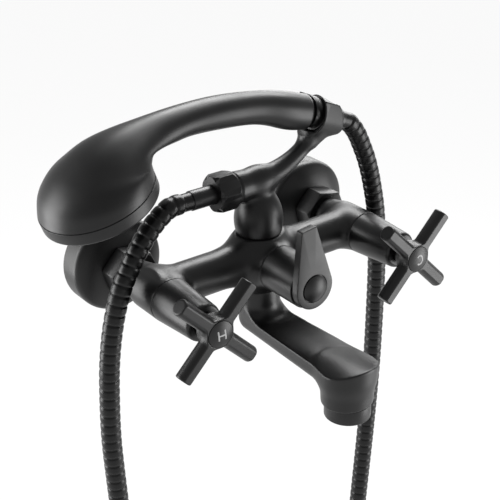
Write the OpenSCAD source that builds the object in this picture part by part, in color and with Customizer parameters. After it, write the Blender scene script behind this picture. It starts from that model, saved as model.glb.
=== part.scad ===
// Wall-mounted bath and shower mixer: two cross handles, a diverter lever, a fixed spout
// and a hand shower that rests on a cradle. Millimetres, Z up. The origin lies on the wall
// plane, midway between the two inlets, and the mixer stands out from the wall toward -Y.

/* [Inlets] */
// Distance between the two wall inlets
inlet_spacing = 150; // [140:1:165]
// Outer radius of the wall thread, G 1/2
wall_thread_r = 10.48; // [10.2:0.01:10.6]
// Length of the wall thread behind the wall plane
wall_thread_l = 13; // [10:0.5:18]
// Radius of the water bore in the inlets
inlet_bore_r = 7.5; // [6.5:0.1:8]
// Radius of the union thread, G 3/4 at its pitch line
union_thread_r = 12.64; // [12.4:0.02:12.8]
// Width across the flats of the union nut
union_nut_af = 29; // [28.5:0.5:33]
// Radius of the wall flange
flange_r = 30.5; // [28:0.5:34]
// Depth of the wall flange at its flat face
flange_depth = 22; // [20:0.5:24]
// Depth of the wall flange's straight rim
flange_rim = 12; // [9:0.5:13]
// Wall of the flange
flange_wall = 1.4; // [1:0.1:2]

/* [Body] */
// Distance of the mixing tube from the wall
body_out = 59; // [56:0.5:62]
// Radius of the mixing tube
tube_r = 12.5; // [11.8:0.1:13.5]
// Radius of the inlet necks
neck_r = 11; // [10.5:0.1:11.6]
// Radius of the valve bosses
boss_r = 13.8; // [13:0.1:14.6]
// Distance of the valve boss faces from the mixing tube
boss_out = 15; // [13:0.5:18]
// Distance of the diverter's seat from the mixing tube
barrel_out = 21; // [19.5:0.5:23]
// Largest radius of the middle hub
hub_r = 17; // [16:0.1:18.5]
// Height of the hub's top face
hub_top = 17.5; // [16.5:0.5:19]
// Depth of the hub's bottom face
hub_bottom = 19; // [18:0.5:21]

/* [Valves] */
// Distance of the bonnet's front from the boss face
bonnet_out = 34; // [32:0.5:36]
// Radius of the bonnet at its front shoulder
bonnet_front_r = 11.6; // [11:0.1:12.4]
// Radius of the valve spindle
spindle_r = 4; // [3.5:0.1:4.4]
// Distance of the spokes from the bonnet's front
spoke_out = 10.8; // [9:0.2:13]
// Radius of a spoke
spoke_r = 5; // [4.2:0.1:5.4]
// Reach of a spoke from the valve axis
spoke_reach = 33; // [29:0.5:33.5]
// Radius of the handle hub
handle_hub_r = 9; // [8.6:0.1:10]
// Radius of the index cap
index_r = 8; // [7:0.1:8.2]

/* [Diverter] */
// Radius of the diverter sleeve
sleeve_r = 14.5; // [13.6:0.1:15.2]
// Distance of the sleeve's front from the diverter's seat
sleeve_out = 28.6; // [26:0.2:30]
// Radius of the lever's round end
lever_r = 13.5; // [12.5:0.1:14.5]
// Height of the lever's tip above its axis
lever_tip = 40; // [34:0.5:41]
// Width of the lever's tip
lever_tip_w = 11; // [9:0.5:13]
// Thickness of the lever
lever_t = 5; // [4:0.2:5.2]
// Lean of the lever at rest
lever_lean = 7; // [0:1:12]
// Radius of the domed button
button_r = 8.5; // [7.5:0.1:9]

/* [Spout] */
// Distance of the outlet's axis from the mixing tube
spout_out = 86.4; // [81:0.2:96]
// Radius of the spout's neck
spout_neck_r = 13.3; // [12.6:0.1:14]
// Radius of the spout's nose at its top
nose_r = 17.5; // [16.8:0.1:18.4]
// Depth of the spout's top face below the inlets
spout_top = 37.5; // [36:0.5:39]
// Depth of the hollow in the spout's top, at the nose
spout_dip = 1.4; // [0.6:0.1:2]
// Depth of the nose's underside below the inlets
nose_bottom = 64; // [62:0.5:67]
// Radius of the aerator ring
aerator_r = 14.1; // [13.6:0.1:14.8]
// Height of the aerator ring
aerator_h = 7; // [6:0.5:8]

/* [Cradle] */
// Height of the hose outlet's axis
outlet_z = 51; // [49:0.5:53]
// Radius of the cradle column at its base
column_r = 14; // [13.4:0.1:14.6]
// Bulge of the cradle column
column_bulge = 1.3; // [0.5:0.1:2]
// Height of the column's widest place above its base
bulge_h = 8.5; // [6:0.5:11]
// Radius of the outlet arm
outlet_r = 9.9; // [9.7:0.1:10.4]
// Radius of the hose thread, G 1/2 at its root line
hose_thread_r = 9.3; // [9.2:0.02:9.4]
// Width across the flats of the outlet hose nut
hose_nut_af = 21.6; // [21.2:0.2:24]
// Wall of the cradle cup
cup_wall = 1.6; // [1.4:0.1:2]

/* [Hand shower] */
// Radius of the shower head at its seam
head_r = 34.3; // [33:0.1:36]
// Thickness of the ring under the head's seam
head_ring_h = 8.6; // [8:0.2:10]
// Wall of the hand shower's shell
shell_wall = 2.2; // [1.8:0.1:2.5]
// Radius of the handle's end
tail_r = 9.8; // [9.6:0.1:10.4]
// Large radius of the conical hose nut
cone_nut_r = 11.2; // [11:0.1:11.6]
// Length of the conical hose nut
cone_nut_l = 20.5; // [19:0.5:24]

/* [Hose] */
// Outer radius of the hose
hose_r = 6.2; // [5.6:0.1:6.4]
// Radius of the hose bore
hose_bore_r = 4; // [3.5:0.1:4.4]
// Depth of the grooves between the hose's ribs
rib_depth = 0.8; // [0.4:0.1:1]
// Number of ribs along the hose
rib_count = 198; // [120:2:200]

/* [Hidden] */
$fn = 64;
// running clearance of turning fits, and the gap between pieces that lift apart
fit = 0.06;
gap = 0.3;
inlet_x = inlet_spacing / 2;
// length of cuts that run clear of a piece
far = 60;

// stations in front of the mixing tube, measured out from the wall
boss_face = body_out + boss_out;
barrel_face = body_out + barrel_out;
bonnet_front = boss_face + bonnet_out;
spoke_line = bonnet_front + spoke_out;
sleeve_front = barrel_face + sleeve_out;
spout_line = body_out + spout_out;

// stations along the inlet axes, measured out from the wall
union_end = 27;
washer_t = 2;
collar_out = union_end + washer_t;
collar_t = 3;
lip_t = 4;
nut_front = collar_out + collar_t + lip_t;
collar_r = union_thread_r - 0.3;

// stations of the valves, measured out from the wall
valve_floor = boss_face - 23;
seal_t = 3;
disc_floor = valve_floor + seal_t;
disc_t = 3;
disc_r = 8.9;
cartridge_r = 9.95;
cartridge_neck_r = 8;
spindle_flange_r = 7.2;
spindle_base = disc_floor + 2 * disc_t;
spindle_end = bonnet_front + 1;
hub_back = bonnet_front + 1.2;
hub_front = spoke_line + 4.4;
hub_neck_r = 6.8;
cap_seat = hub_front - 2.6;

// stations of the diverter, measured out from the wall
diverter_floor = body_out - 14;
diverter_r = 10.4;
rotor_t = 6;
rotor_base = diverter_floor + seal_t;
lever_back = sleeve_front + gap;
lever_front = lever_back + lever_t;
lever_neck_r = 6.8;

// screws of the handles and the lever, and the step of the cartridges' nuts
screw_r = 2;
screw_head_r = 3.5;
screw_head_h = 2.4;
screw_hex_r = 1.7;
screw_room = 3.7;
screw_depth = 8;
screw_seat = 4;
lever_screw_seat = 1.4;
lever_screw_h = 2.2;
button_sunk = 1;
neck_depth = 7;
nut_step = 1.4;
nut_step_h = 4;
nut_taper = 2;

// the tail line of the hand shower: it starts at the handle's end and falls to the right
tail_x = 31.9;
tail_z = 89.8;
tail_fall = 22.8;
cup_s = 11;
cup_l = cone_nut_l + 1;
cone_nut_s = cup_s + 0.6;
cone_small_r = cone_nut_r - 4.2;
ferrule_r = hose_r - 0.2;
ferrule_s = cone_nut_s + cone_nut_l;
tail_hose_s = ferrule_s + 3;
tail_bore_r = 4.6;
insert_r = cone_small_r - gap;
thread_in = 5.5;
seat_in = 11;
cup_top = 9.5;
cup_end = cup_s + cup_l;
// the cup's end slopes: its walls stop this far before its foot
end_slope = 6.5;
end_foot = 6;
// the rib under the handle's end lies this far below the tail line
rib_low = 12.6;
// the collar ends this far before the cup
collar_front = cup_s - 2.2;

function cup_bore(s) = cone_nut_r + gap - (cone_nut_r - cone_small_r) * (s - cup_s) / cone_nut_l;

// the handle's end leans the other way: its lower edge lies this far down the tail line
end_drop = 6;
end_lean = atan2(end_drop, 2 * tail_r);
end_groove = 1.4;
plug_r = tail_r - shell_wall - 1.6;
plug_l = 7;
plug_end = end_drop + 1;
shoulder_r = hose_thread_r - 0.6;

// the head's seam plane: its centre and its tilt
head_x = -111;
head_z = 71.7;
head_tilt = 19.4;

// stations of the outlet, measured to the left of the column's axis
arm_end = 18;
thread_end = 26;
hose_nut_back = 19.4;
insert_t = 2;
insert_end = thread_end + washer_t + insert_t;
hose_nut_end = insert_end + 4;
outlet_hose = hose_nut_end + 16;
hose_nut_turn = 38;
hose_nut_bevel = 2.6;

nipple_r = 8;
nipple_up = 11.8;
nipple_sunk = 6.8;
spout_sunk = 8.8;
riser_r = 5.5;
seal_r = 11.2;
seal_h = 1.6;

// a turned piece whose local Z runs out from the wall
module out(x, z = 0) {
  translate([x, 0, z]) rotate([90, 0, 0]) children();
}

// a piece on the hand shower's tail, whose local Z runs down the tail line
module tail(s = 0) {
  translate([tail_x, -body_out, tail_z])
    rotate([0, 90 + tail_fall, 0])
      translate([0, 0, s]) children();
}

// a piece on the shower head, whose local Z runs out of the spray face
module head(h = 0) {
  translate([head_x, -body_out, head_z])
    rotate([0, 180 - head_tilt, 0])
      translate([0, 0, h]) children();
}

// a piece on the outlet, whose local Z runs to the left
module outlet(d = 0) {
  translate([-d, -body_out, outlet_z]) rotate([0, -90, 0]) children();
}

module pipe(r, bore, h) {
  difference() {
    cylinder(r = r, h = h);
    translate([0, 0, -1]) cylinder(r = bore, h = h + 2);
  }
}

module hexagon_nut(af, h, bevel) {
  across = af / cos(30);
  intersection() {
    cylinder(r = across / 2, h = h, $fn = 6);
    rotate_extrude()
      polygon([[0, 0], [af / 2, 0], [across / 2, bevel], [across / 2, h - bevel], [af / 2, h], [0, h]]);
  }
}

// inlets, one set on each side

// brass connector: wall thread behind the wall plane, union thread in front of it
module wall_connector(side) {
  color("#b08a45") out(side * inlet_x) rotate_extrude() polygon([
    [inlet_bore_r, -wall_thread_l],
    [wall_thread_r - 0.8, -wall_thread_l],
    [wall_thread_r, 0.8 - wall_thread_l],
    [wall_thread_r, 1],
    [union_thread_r, 1],
    [union_thread_r, union_end],
    [inlet_bore_r, union_end]
  ]);
}

// outline of the flange: straight rim, rounded shoulder, slope up to a flat land
module flange_outline(r, round_r, land) {
  middle = [r - round_r, flange_rim];
  way = land - middle;
  turn = atan2(way[1], way[0]) - acos(round_r / norm(way));
  touch = middle + round_r * [cos(turn), sin(turn)];
  polygon([[0, 0], [r, 0], [r, flange_rim], middle, touch, land, [0, land[1]]]);
  translate(middle) circle(r = round_r);
}

// spun cover plate that hides the hole in the wall
module wall_flange(side) {
  round_r = 5;
  land_r = union_nut_af / (2 * cos(30)) + 0.4;
  color("#2a2b2d") out(side * inlet_x) rotate_extrude() difference() {
    flange_outline(flange_r, round_r, [land_r, flange_depth]);
    flange_outline(flange_r - flange_wall, round_r - flange_wall, [land_r - 1, flange_depth - flange_wall]);
    square([union_thread_r + fit, flange_depth + 1]);
  }
}

// hexagon nut that pulls the body's collar onto the connector
module union_nut(side) {
  turn = 47.5;
  color("#2a2b2d") out(side * inlet_x) difference() {
    translate([0, 0, flange_depth]) rotate([0, 0, turn])
      hexagon_nut(union_nut_af, nut_front - flange_depth, 1.2);
    cylinder(r = union_thread_r + fit, h = collar_out + collar_t);
    cylinder(r = neck_r + fit, h = nut_front + 1);
  }
}

// flat rubber washer in the union
module inlet_washer(side) {
  color("#161616") out(side * inlet_x) translate([0, 0, union_end])
    pipe(collar_r, inlet_bore_r, washer_t);
}

// cast body: two inlet necks with valve bosses, the mixing tube and the hub
module mixer_body() {
  flare_x = 34;
  flare_r = 57;
  hub_mid = (hub_top - hub_bottom) / 2;
  hub_half = (hub_top + hub_bottom) / 2;
  hub_arc = (hub_half * hub_half + 9) / 6;
  color("#2a2b2d") difference() {
    union() {
      for (side = [-1, 1]) {
        out(side * inlet_x) rotate_extrude() polygon([
          [0, collar_out],
          [collar_r, collar_out],
          [collar_r, collar_out + collar_t],
          [neck_r, collar_out + collar_t],
          [neck_r, nut_front + gap],
          [boss_r, body_out - 8],
          [boss_r, boss_face],
          [0, boss_face]
        ]);
      }
      translate([0, -body_out, 0]) rotate([0, 90, 0]) rotate_extrude() difference() {
        translate([0, -inlet_x]) square([tube_r + 4, inlet_spacing]);
        translate([tube_r, flare_x]) square([5, inlet_x]);
        translate([tube_r, -flare_x - inlet_x]) square([5, inlet_x]);
        translate([tube_r + flare_r, flare_x]) circle(r = flare_r);
        translate([tube_r + flare_r, -flare_x]) circle(r = flare_r);
      }
      translate([0, -body_out, 0]) rotate_extrude() intersection() {
        translate([hub_r - hub_arc, hub_mid]) circle(r = hub_arc);
        translate([0, -hub_bottom]) square([hub_r + 1, hub_top + hub_bottom]);
      }
      out(0) translate([0, 0, body_out]) cylinder(r = sleeve_r, h = barrel_out);
    }
    for (side = [-1, 1]) {
      out(side * inlet_x) cylinder(r = inlet_bore_r, h = boss_face);
      out(side * inlet_x) translate([0, 0, valve_floor]) cylinder(r = cartridge_r + fit, h = 40);
    }
    translate([-inlet_x, -body_out, 0]) rotate([0, 90, 0]) cylinder(r = 6.5, h = inlet_spacing);
    out(0) translate([0, 0, diverter_floor]) cylinder(r = diverter_r + fit, h = 40);
    translate([0, -body_out, -hub_bottom - 1]) cylinder(r = 6, h = hub_bottom + hub_top + 2);
    for (z = [hub_top - nipple_sunk - 0.2, -hub_bottom - 1])
      translate([0, -body_out, z]) cylinder(r = nipple_r + fit, h = nipple_sunk + 1.2);
    for (z = [hub_top - seal_h, -hub_bottom - seal_h])
      translate([0, -body_out, z]) cylinder(r = seal_r + gap, h = 2 * seal_h);
  }
}

// valves, one set on each side

// rubber seal under the fixed disc
module seat_seal(side) {
  color("#161616") out(side * inlet_x) translate([0, 0, valve_floor])
    pipe(disc_r, 6.4, seal_t);
}

// ceramic disc with two ports, held still in the cartridge
module fixed_disc(side) {
  color("#e6e4dc") out(side * inlet_x) translate([0, 0, disc_floor]) difference() {
    cylinder(r = disc_r, h = disc_t);
    for (p = [-1, 1]) translate([p * 4.6, 0, -1]) cylinder(r = 2.6, h = disc_t + 2);
  }
}

// ceramic disc with one slot on each side, turned by the spindle
module moving_disc(side) {
  color("#e6e4dc") out(side * inlet_x) translate([0, 0, disc_floor + disc_t]) difference() {
    cylinder(r = disc_r - 0.3, h = disc_t);
    for (p = [-1, 1]) translate([0, p * 8, -1]) cylinder(r = 3.6, h = disc_t + 2);
  }
}

// brass cartridge screwed into the boss
module valve_body(side) {
  top = bonnet_front - 9;
  color("#b08a45") out(side * inlet_x) difference() {
    rotate_extrude() polygon([
      [0, disc_floor],
      [cartridge_r, disc_floor],
      [cartridge_r, boss_face],
      [cartridge_r + nut_step, boss_face],
      [cartridge_r + nut_step, boss_face + nut_step_h],
      [cartridge_neck_r, boss_face + nut_step_h + nut_taper],
      [cartridge_neck_r, top],
      [0, top]
    ]);
    cylinder(r = disc_r + fit, h = spindle_base);
    cylinder(r = spindle_flange_r + fit, h = spindle_base + 3 + fit);
    cylinder(r = spindle_r + fit, h = top + 1);
  }
}

// spindle that carries the handle and turns the disc
module spindle(side) {
  color("#b9a25f") out(side * inlet_x) difference() {
    union() {
      translate([0, 0, spindle_base]) cylinder(r = spindle_flange_r, h = 3);
      translate([0, 0, spindle_base]) cylinder(r = spindle_r, h = spindle_end - spindle_base);
    }
    translate([0, 0, spindle_end - screw_depth - 1]) cylinder(r = screw_r, h = far);
  }
}

// domed cover over the cartridge
module bonnet(side) {
  round_r = 5;
  wall = 1.5;
  color("#2a2b2d") out(side * inlet_x) rotate_extrude() difference() {
    union() {
      polygon([
        [0, boss_face],
        [boss_r, boss_face],
        [bonnet_front_r, bonnet_front - round_r],
        [0, bonnet_front - round_r]
      ]);
      square([bonnet_front_r - round_r, bonnet_front]);
      translate([bonnet_front_r - round_r, bonnet_front - round_r]) circle(r = round_r);
    }
    square([bonnet_front_r, boss_face]);
    square([cartridge_r + nut_step + fit, boss_face + 2 * nut_step_h]);
    square([cartridge_neck_r + fit, bonnet_front - 3]);
    polygon([
      [0, boss_face],
      [boss_r - wall, boss_face],
      [bonnet_front_r - wall, bonnet_front - 11],
      [0, bonnet_front - 11]
    ]);
    square([hub_neck_r + gap, bonnet_front + 1]);
  }
}

// hub with four round spokes, all one piece
module handle(side) {
  tip = 1.2;
  color("#2a2b2d") out(side * inlet_x) difference() {
    union() {
      rotate_extrude() polygon([
        [0, bonnet_front - neck_depth],
        [hub_neck_r, bonnet_front - neck_depth],
        [hub_neck_r, hub_back],
        [handle_hub_r, hub_back + 3.4],
        [handle_hub_r, hub_front - 0.8],
        [handle_hub_r - 0.8, hub_front],
        [0, hub_front]
      ]);
      translate([0, 0, spoke_line]) for (turn = [45, 135, 225, 315])
        rotate([0, 0, turn]) rotate([0, 90, 0]) rotate_extrude() union() {
          square([spoke_r, spoke_reach - tip]);
          square([spoke_r - tip, spoke_reach]);
          translate([spoke_r - tip, spoke_reach - tip]) circle(r = tip);
        }
    }
    translate([0, 0, bonnet_front - 2 * neck_depth])
      cylinder(r = spindle_r + fit, h = spindle_end - bonnet_front + 2 * neck_depth);
    cylinder(r = screw_r + fit, h = hub_front);
    translate([0, 0, spindle_end + screw_seat]) cylinder(r = screw_room, h = far);
    translate([0, 0, cap_seat]) cylinder(r = index_r + fit, h = far);
  }
}

// screw that holds the handle on its spindle
module handle_screw(side) {
  color("#8f9296") out(side * inlet_x) difference() {
    union() {
      translate([0, 0, spindle_end - screw_depth]) cylinder(r = screw_r - fit, h = screw_depth + screw_seat);
      translate([0, 0, spindle_end + screw_seat]) cylinder(r = screw_head_r, h = screw_head_h);
    }
    translate([0, 0, spindle_end + screw_seat + screw_head_h / 2])
      cylinder(r = screw_hex_r, h = far, $fn = 6);
  }
}

// domed index cap pressed into the hub
module index_cap(side) {
  rise = 1.5;
  dome = (index_r * index_r + rise * rise) / (2 * rise);
  color("#2f3032") out(side * inlet_x) translate([0, 0, cap_seat]) rotate_extrude() union() {
    square([index_r, 2.8]);
    intersection() {
      translate([0, 2.8 + rise - dome]) circle(r = dome, $fn = 128);
      square([index_r, 2.8 + rise]);
    }
  }
}

// diverter

// rubber seal in the hub
module diverter_seal() {
  color("#161616") out(0) translate([0, 0, diverter_floor]) pipe(disc_r, 6.4, seal_t);
}

// turning plug with a cross port that sends the water up or down
module diverter_rotor() {
  color("#d9d6cc") out(0) translate([0, 0, rotor_base]) difference() {
    cylinder(r = disc_r - 0.3, h = rotor_t);
    translate([0, 0, rotor_t / 2]) rotate([90, 0, 0]) cylinder(r = 2, h = 30, center = true);
  }
}

// brass cartridge screwed into the hub
module diverter_cartridge() {
  top = sleeve_front - 9;
  color("#b08a45") out(0) difference() {
    rotate_extrude() polygon([
      [0, rotor_base],
      [diverter_r, rotor_base],
      [diverter_r, barrel_face],
      [diverter_r + nut_step, barrel_face],
      [diverter_r + nut_step, barrel_face + nut_step_h],
      [cartridge_neck_r, barrel_face + nut_step_h + nut_taper],
      [cartridge_neck_r, top],
      [0, top]
    ]);
    cylinder(r = disc_r + fit, h = rotor_base + rotor_t);
    cylinder(r = spindle_flange_r + fit, h = rotor_base + rotor_t + 3 + fit);
    cylinder(r = spindle_r + fit, h = top + 1);
    for (turn = [0, 90]) translate([0, 0, rotor_base + rotor_t / 2])
      rotate([90, 0, turn]) cylinder(r = 2, h = 40, center = true);
  }
}

// spindle that carries the lever and turns the plug
module diverter_spindle() {
  base = rotor_base + rotor_t;
  color("#b9a25f") out(0) difference() {
    union() {
      translate([0, 0, base]) cylinder(r = spindle_flange_r, h = 3);
      translate([0, 0, base]) cylinder(r = spindle_r, h = lever_back - base);
    }
    translate([0, 0, lever_back - screw_depth - 1]) cylinder(r = screw_r, h = far);
  }
}

// plain sleeve around the diverter cartridge
module diverter_sleeve() {
  color("#2a2b2d") out(0) rotate_extrude() difference() {
    translate([0, barrel_face]) square([sleeve_r, sleeve_out]);
    square([diverter_r + nut_step + fit, barrel_face + 2 * nut_step_h]);
    square([cartridge_neck_r + fit, sleeve_front - 3]);
    translate([0, barrel_face]) square([sleeve_r - 1.8, sleeve_out - 12]);
    square([lever_neck_r + gap, sleeve_front + 1]);
  }
}

// flat tapering lever with a round neck behind it
module diverter_lever() {
  lean = asin((lever_r - lever_tip_w / 2) / lever_tip);
  color("#2e2f31") out(0) rotate([0, 0, lever_lean]) difference() {
    union() {
      translate([0, 0, lever_back]) linear_extrude(lever_t) union() {
        circle(r = lever_r);
        polygon([
          [-lever_r * cos(lean), lever_r * sin(lean)],
          [lever_r * cos(lean), lever_r * sin(lean)],
          [lever_tip_w / 2, lever_tip],
          [-lever_tip_w / 2, lever_tip]
        ]);
      }
      translate([0, 0, sleeve_front - neck_depth]) cylinder(r = lever_neck_r, h = neck_depth + gap + 1);
    }
    translate([0, 0, sleeve_front - 2 * neck_depth])
      cylinder(r = spindle_r + fit, h = lever_back - sleeve_front + 2 * neck_depth);
    cylinder(r = screw_r + fit, h = lever_front + 1);
    translate([0, 0, lever_back + lever_screw_seat]) cylinder(r = screw_room, h = far);
    translate([0, 0, lever_front - button_sunk]) cylinder(r = button_r + fit, h = far);
  }
}

// screw that holds the lever on its spindle
module lever_screw() {
  color("#8f9296") out(0) difference() {
    union() {
      translate([0, 0, lever_back - screw_depth])
        cylinder(r = screw_r - fit, h = screw_depth + lever_screw_seat);
      translate([0, 0, lever_back + lever_screw_seat]) cylinder(r = screw_head_r, h = lever_screw_h);
    }
    translate([0, 0, lever_back + lever_screw_seat + lever_screw_h / 2])
      cylinder(r = screw_hex_r, h = far, $fn = 6);
  }
}

// domed button pressed into the lever
module lever_button() {
  rise = 2.6;
  dome = (button_r * button_r + rise * rise) / (2 * rise);
  color("#2f3032") out(0) translate([0, 0, lever_front - button_sunk]) rotate_extrude() union() {
    square([button_r, 1.4]);
    intersection() {
      translate([0, 1.4 + rise - dome]) circle(r = dome, $fn = 128);
      square([button_r, 1.4 + rise]);
    }
  }
}

// cradle

// plan of the cup between two stations of the tail line, grown by a wall
module cup_plan(from_s, to_s, wall) {
  polygon([
    [from_s, cup_bore(from_s) + wall],
    [to_s, cup_bore(to_s) + wall],
    [to_s, -cup_bore(to_s) - wall],
    [from_s, -cup_bore(from_s) - wall]
  ]);
}

// cast cradle: column, outlet arm, rising arm and the cup that holds the hand shower
module cradle() {
  column_h = outlet_z - hub_top;
  column_arc = (bulge_h * bulge_h + column_bulge * column_bulge) / (2 * column_bulge);
  bevel = 1;
  arm_rise = atan2(13, 34);
  web_t = 10.8;
  color("#2a2b2d") difference() {
    union() {
      translate([0, -body_out, hub_top]) rotate_extrude() intersection() {
        translate([column_r + column_bulge - column_arc, bulge_h]) circle(r = column_arc, $fn = 256);
        polygon([
          [0, 0],
          [column_r - bevel, 0],
          [column_r - bevel + column_h, column_h],
          [0, column_h]
        ]);
      }
      translate([0, -body_out, outlet_z]) sphere(r = outlet_r);
      outlet() cylinder(r = outlet_r, h = arm_end);
      outlet() cylinder(r = hose_thread_r, h = thread_end);
      translate([0, -body_out, outlet_z]) rotate([0, 90 - arm_rise, 0])
        cylinder(r1 = outlet_r - 1, r2 = 5.8, h = 38);
      translate([0, -body_out, outlet_z]) rotate([90, 0, 0]) translate([0, 0, -web_t / 2])
        linear_extrude(web_t) difference() {
          polygon([[22, 9], [34, 5.6], [44, 9], [64, 15], [64, 23], [44, 33], [30, 33]]);
          translate([17, 27]) circle(r = 13.4);
          translate([58, 0.4]) circle(r = 16);
        }
      tail(cup_s) cylinder(r1 = cup_bore(cup_s) + cup_wall, r2 = cup_bore(cup_end) + cup_wall, h = cup_l);
      tail() rotate([0, -90, 0]) linear_extrude(cup_top) cup_plan(cup_s, cup_end, cup_wall);
    }
    translate([0, -body_out, hub_top - 1]) cylinder(r = riser_r, h = column_h + 1);
    translate([0, -body_out, hub_top - 1]) cylinder(r = nipple_r + fit, h = nipple_up + 2);
    outlet() cylinder(r = riser_r, h = thread_end + 1);
    tail(cup_s - 1) cylinder(r1 = cup_bore(cup_s - 1), r2 = cup_bore(cup_end + 1), h = cup_l + 2);
    tail() rotate([0, -90, 0]) linear_extrude(far) cup_plan(cup_s - 1, cup_end + 1, 0);
    tail() translate([-far - cup_top, -far / 2, 0]) cube(far);
    tail(cup_s - far) translate([-far + rib_low, -far / 2, 0]) cube(far);
    tail() rotate([0, -90, 0]) rotate([90, 0, 0]) translate([0, 0, -far / 2]) linear_extrude(far) polygon([
      [cup_end, -far],
      [cup_end, -end_foot],
      [cup_end - end_slope, cup_top],
      [cup_end - end_slope, far],
      [cup_end + far, far],
      [cup_end + far, -far]
    ]);
  }
}

// hollow screw that joins the cradle to the hub
module cradle_nipple() {
  color("#b08a45") translate([0, -body_out, hub_top - nipple_sunk])
    pipe(nipple_r, riser_r - gap, nipple_sunk + nipple_up);
}

// flat ring seal under the column
module cradle_seal() {
  color("#161616") translate([0, -body_out, hub_top - seal_h]) pipe(seal_r, nipple_r + gap, seal_h);
}

// hose and its two ends

// rubber washer inside the outlet hose nut
module outlet_washer() {
  color("#161616") outlet(thread_end) pipe(hose_thread_r - 0.2, 5, washer_t);
}

// hexagon nut on the outlet
module outlet_hose_nut() {
  color("#242527") outlet() difference() {
    translate([0, 0, hose_nut_back]) rotate([0, 0, hose_nut_turn])
      hexagon_nut(hose_nut_af, hose_nut_end - hose_nut_back, hose_nut_bevel);
    cylinder(r = hose_thread_r + fit, h = insert_end);
    cylinder(r = ferrule_r + fit, h = hose_nut_end + 1);
  }
}

// collared sleeve crimped on the hose at the outlet
module outlet_hose_ferrule() {
  color("#3a3b3e") outlet(insert_end - insert_t) difference() {
    union() {
      cylinder(r = hose_thread_r - 0.1, h = insert_t);
      cylinder(r = ferrule_r, h = outlet_hose - insert_end + insert_t);
    }
    translate([0, 0, -1]) cylinder(r = hose_bore_r, h = far);
  }
}

// route of the hose in its plane, from the outlet to the hand shower
hose_start = [-outlet_hose, outlet_z];
hose_finish = [tail_x + tail_hose_s * cos(tail_fall), tail_z - tail_hose_s * sin(tail_fall)];
hose_lead = 2 * hose_r;
hose_tail_lead = hose_r;
hose_route = [
  hose_start,
  hose_start + [-hose_lead, 0],
  [-73, 45],
  [-83, 35],
  [-92, 22],
  [-100, 7],
  [-106, -12],
  [-110, -34],
  [-112, -58],
  [-113, -88],
  [-112, -120],
  [-110, -160],
  [-107, -212],
  [-103, -272],
  [-97, -338],
  [-85, -398],
  [-63, -444],
  [-32, -470],
  [2, -474],
  [35, -458],
  [60, -424],
  [76, -376],
  [84, -324],
  [89, -272],
  [93, -222],
  [97, -171],
  [100, -120],
  [101, -75],
  [101, -35],
  [98.6, 0],
  [94.2, 23],
  [89, 41],
  [83.5, 54],
  [77.5, 65.4],
  hose_finish + hose_tail_lead * [cos(tail_fall), -sin(tail_fall)],
  hose_finish
];
// samples between two route points
hose_steps = 10;

function curve_point(a, b, c, d, t) =
  0.5 * (2 * b + (c - a) * t + (2 * a - 5 * b + 4 * c - d) * t * t + (3 * b - a - 3 * c + d) * t * t * t);

function route_point(p, i) =
  i < 0 ? 2 * p[0] - p[1] : i >= len(p) ? 2 * p[len(p) - 1] - p[len(p) - 2] : p[i];

function route_curve(p, steps) = [
  for (i = [0 : len(p) - 2], k = [0 : steps - 1])
    i == 0 ? p[0] + (p[1] - p[0]) * k / steps
    : i == len(p) - 2 ? p[i] + (p[i + 1] - p[i]) * k / steps
    : curve_point(route_point(p, i - 1), p[i], p[i + 1], route_point(p, i + 2), k / steps),
  p[len(p) - 1]
];

function running_length(p) = [
  for (i = 0, s = 0; i < len(p); s = s + (i + 1 < len(p) ? norm(p[i + 1] - p[i]) : 0), i = i + 1) s
];

// the curve as tables of length against each coordinate, for even spacing
hose_curve = route_curve(hose_route, hose_steps);
hose_run = running_length(hose_curve);
hose_length = hose_run[len(hose_run) - 1];
hose_table_x = [for (i = [0 : len(hose_run) - 1]) [hose_run[i], hose_curve[i][0]]];
hose_table_z = [for (i = [0 : len(hose_run) - 1]) [hose_run[i], hose_curve[i][1]]];

function hose_at(s) = [lookup(s, hose_table_x), lookup(s, hose_table_z)];

function hose_way(s) =
  let (a = hose_at(max(0, s - 1)), b = hose_at(min(hose_length, s + 1)))
  (b - a) / norm(b - a);

// one ring of eight points round the hose
function hose_ring(s, r) =
  let (p = hose_at(s), w = hose_way(s))
  [for (k = [0 : 7]) [
    p[0] - r * cos(45 * k) * w[1],
    r * sin(45 * k) - body_out,
    p[1] + r * cos(45 * k) * w[0]
  ]];

// faces between ring number i and the next one
function ring_faces(i, n, flip) = [
  for (k = [0 : n - 1])
    let (a = i * n + k, b = i * n + (k + 1) % n, c = a + n, d = b + n)
    each flip ? [[a, b, c], [b, d, c]] : [[a, c, b], [b, c, d]]
];

// faces that close the end between two rings
function end_faces(i, j, n, flip) = [
  for (k = [0 : n - 1])
    let (a = i * n + k, b = i * n + (k + 1) % n, c = j * n + k, d = j * n + (k + 1) % n)
    each flip ? [[a, b, c], [b, d, c]] : [[a, c, b], [b, c, d]]
];

// ribbed shower hose with its bore, one hanging loop
module shower_hose() {
  plain = hose_lead / 2;
  pitch = (hose_length - 2 * plain) / rib_count;
  crests = [
    for (i = [0 : rib_count - 1], h = [0, 1])
      [plain + (i + 0.25 + 0.5 * h) * pitch, h == 0 ? hose_r : hose_r - rib_depth]
  ];
  outer = concat([[0, hose_r - rib_depth]], crests, [[hose_length, hose_r - rib_depth]]);
  bore_count = 90;
  inner = [for (i = [0 : bore_count]) [hose_length * i / bore_count, hose_bore_r]];
  outer_rings = len(outer);
  all_rings = concat(outer, inner);
  points = [for (q = all_rings) each hose_ring(q[0], q[1])];
  last = len(all_rings) - 1;
  faces = concat(
    [for (i = [0 : outer_rings - 2]) each ring_faces(i, 8, false)],
    [for (i = [outer_rings : last - 1]) each ring_faces(i, 8, true)],
    end_faces(0, outer_rings, 8, true),
    end_faces(outer_rings - 1, last, 8, false)
  );
  color("#1b1c1e") polyhedron(points = points, faces = faces, convexity = 10);
}

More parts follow.
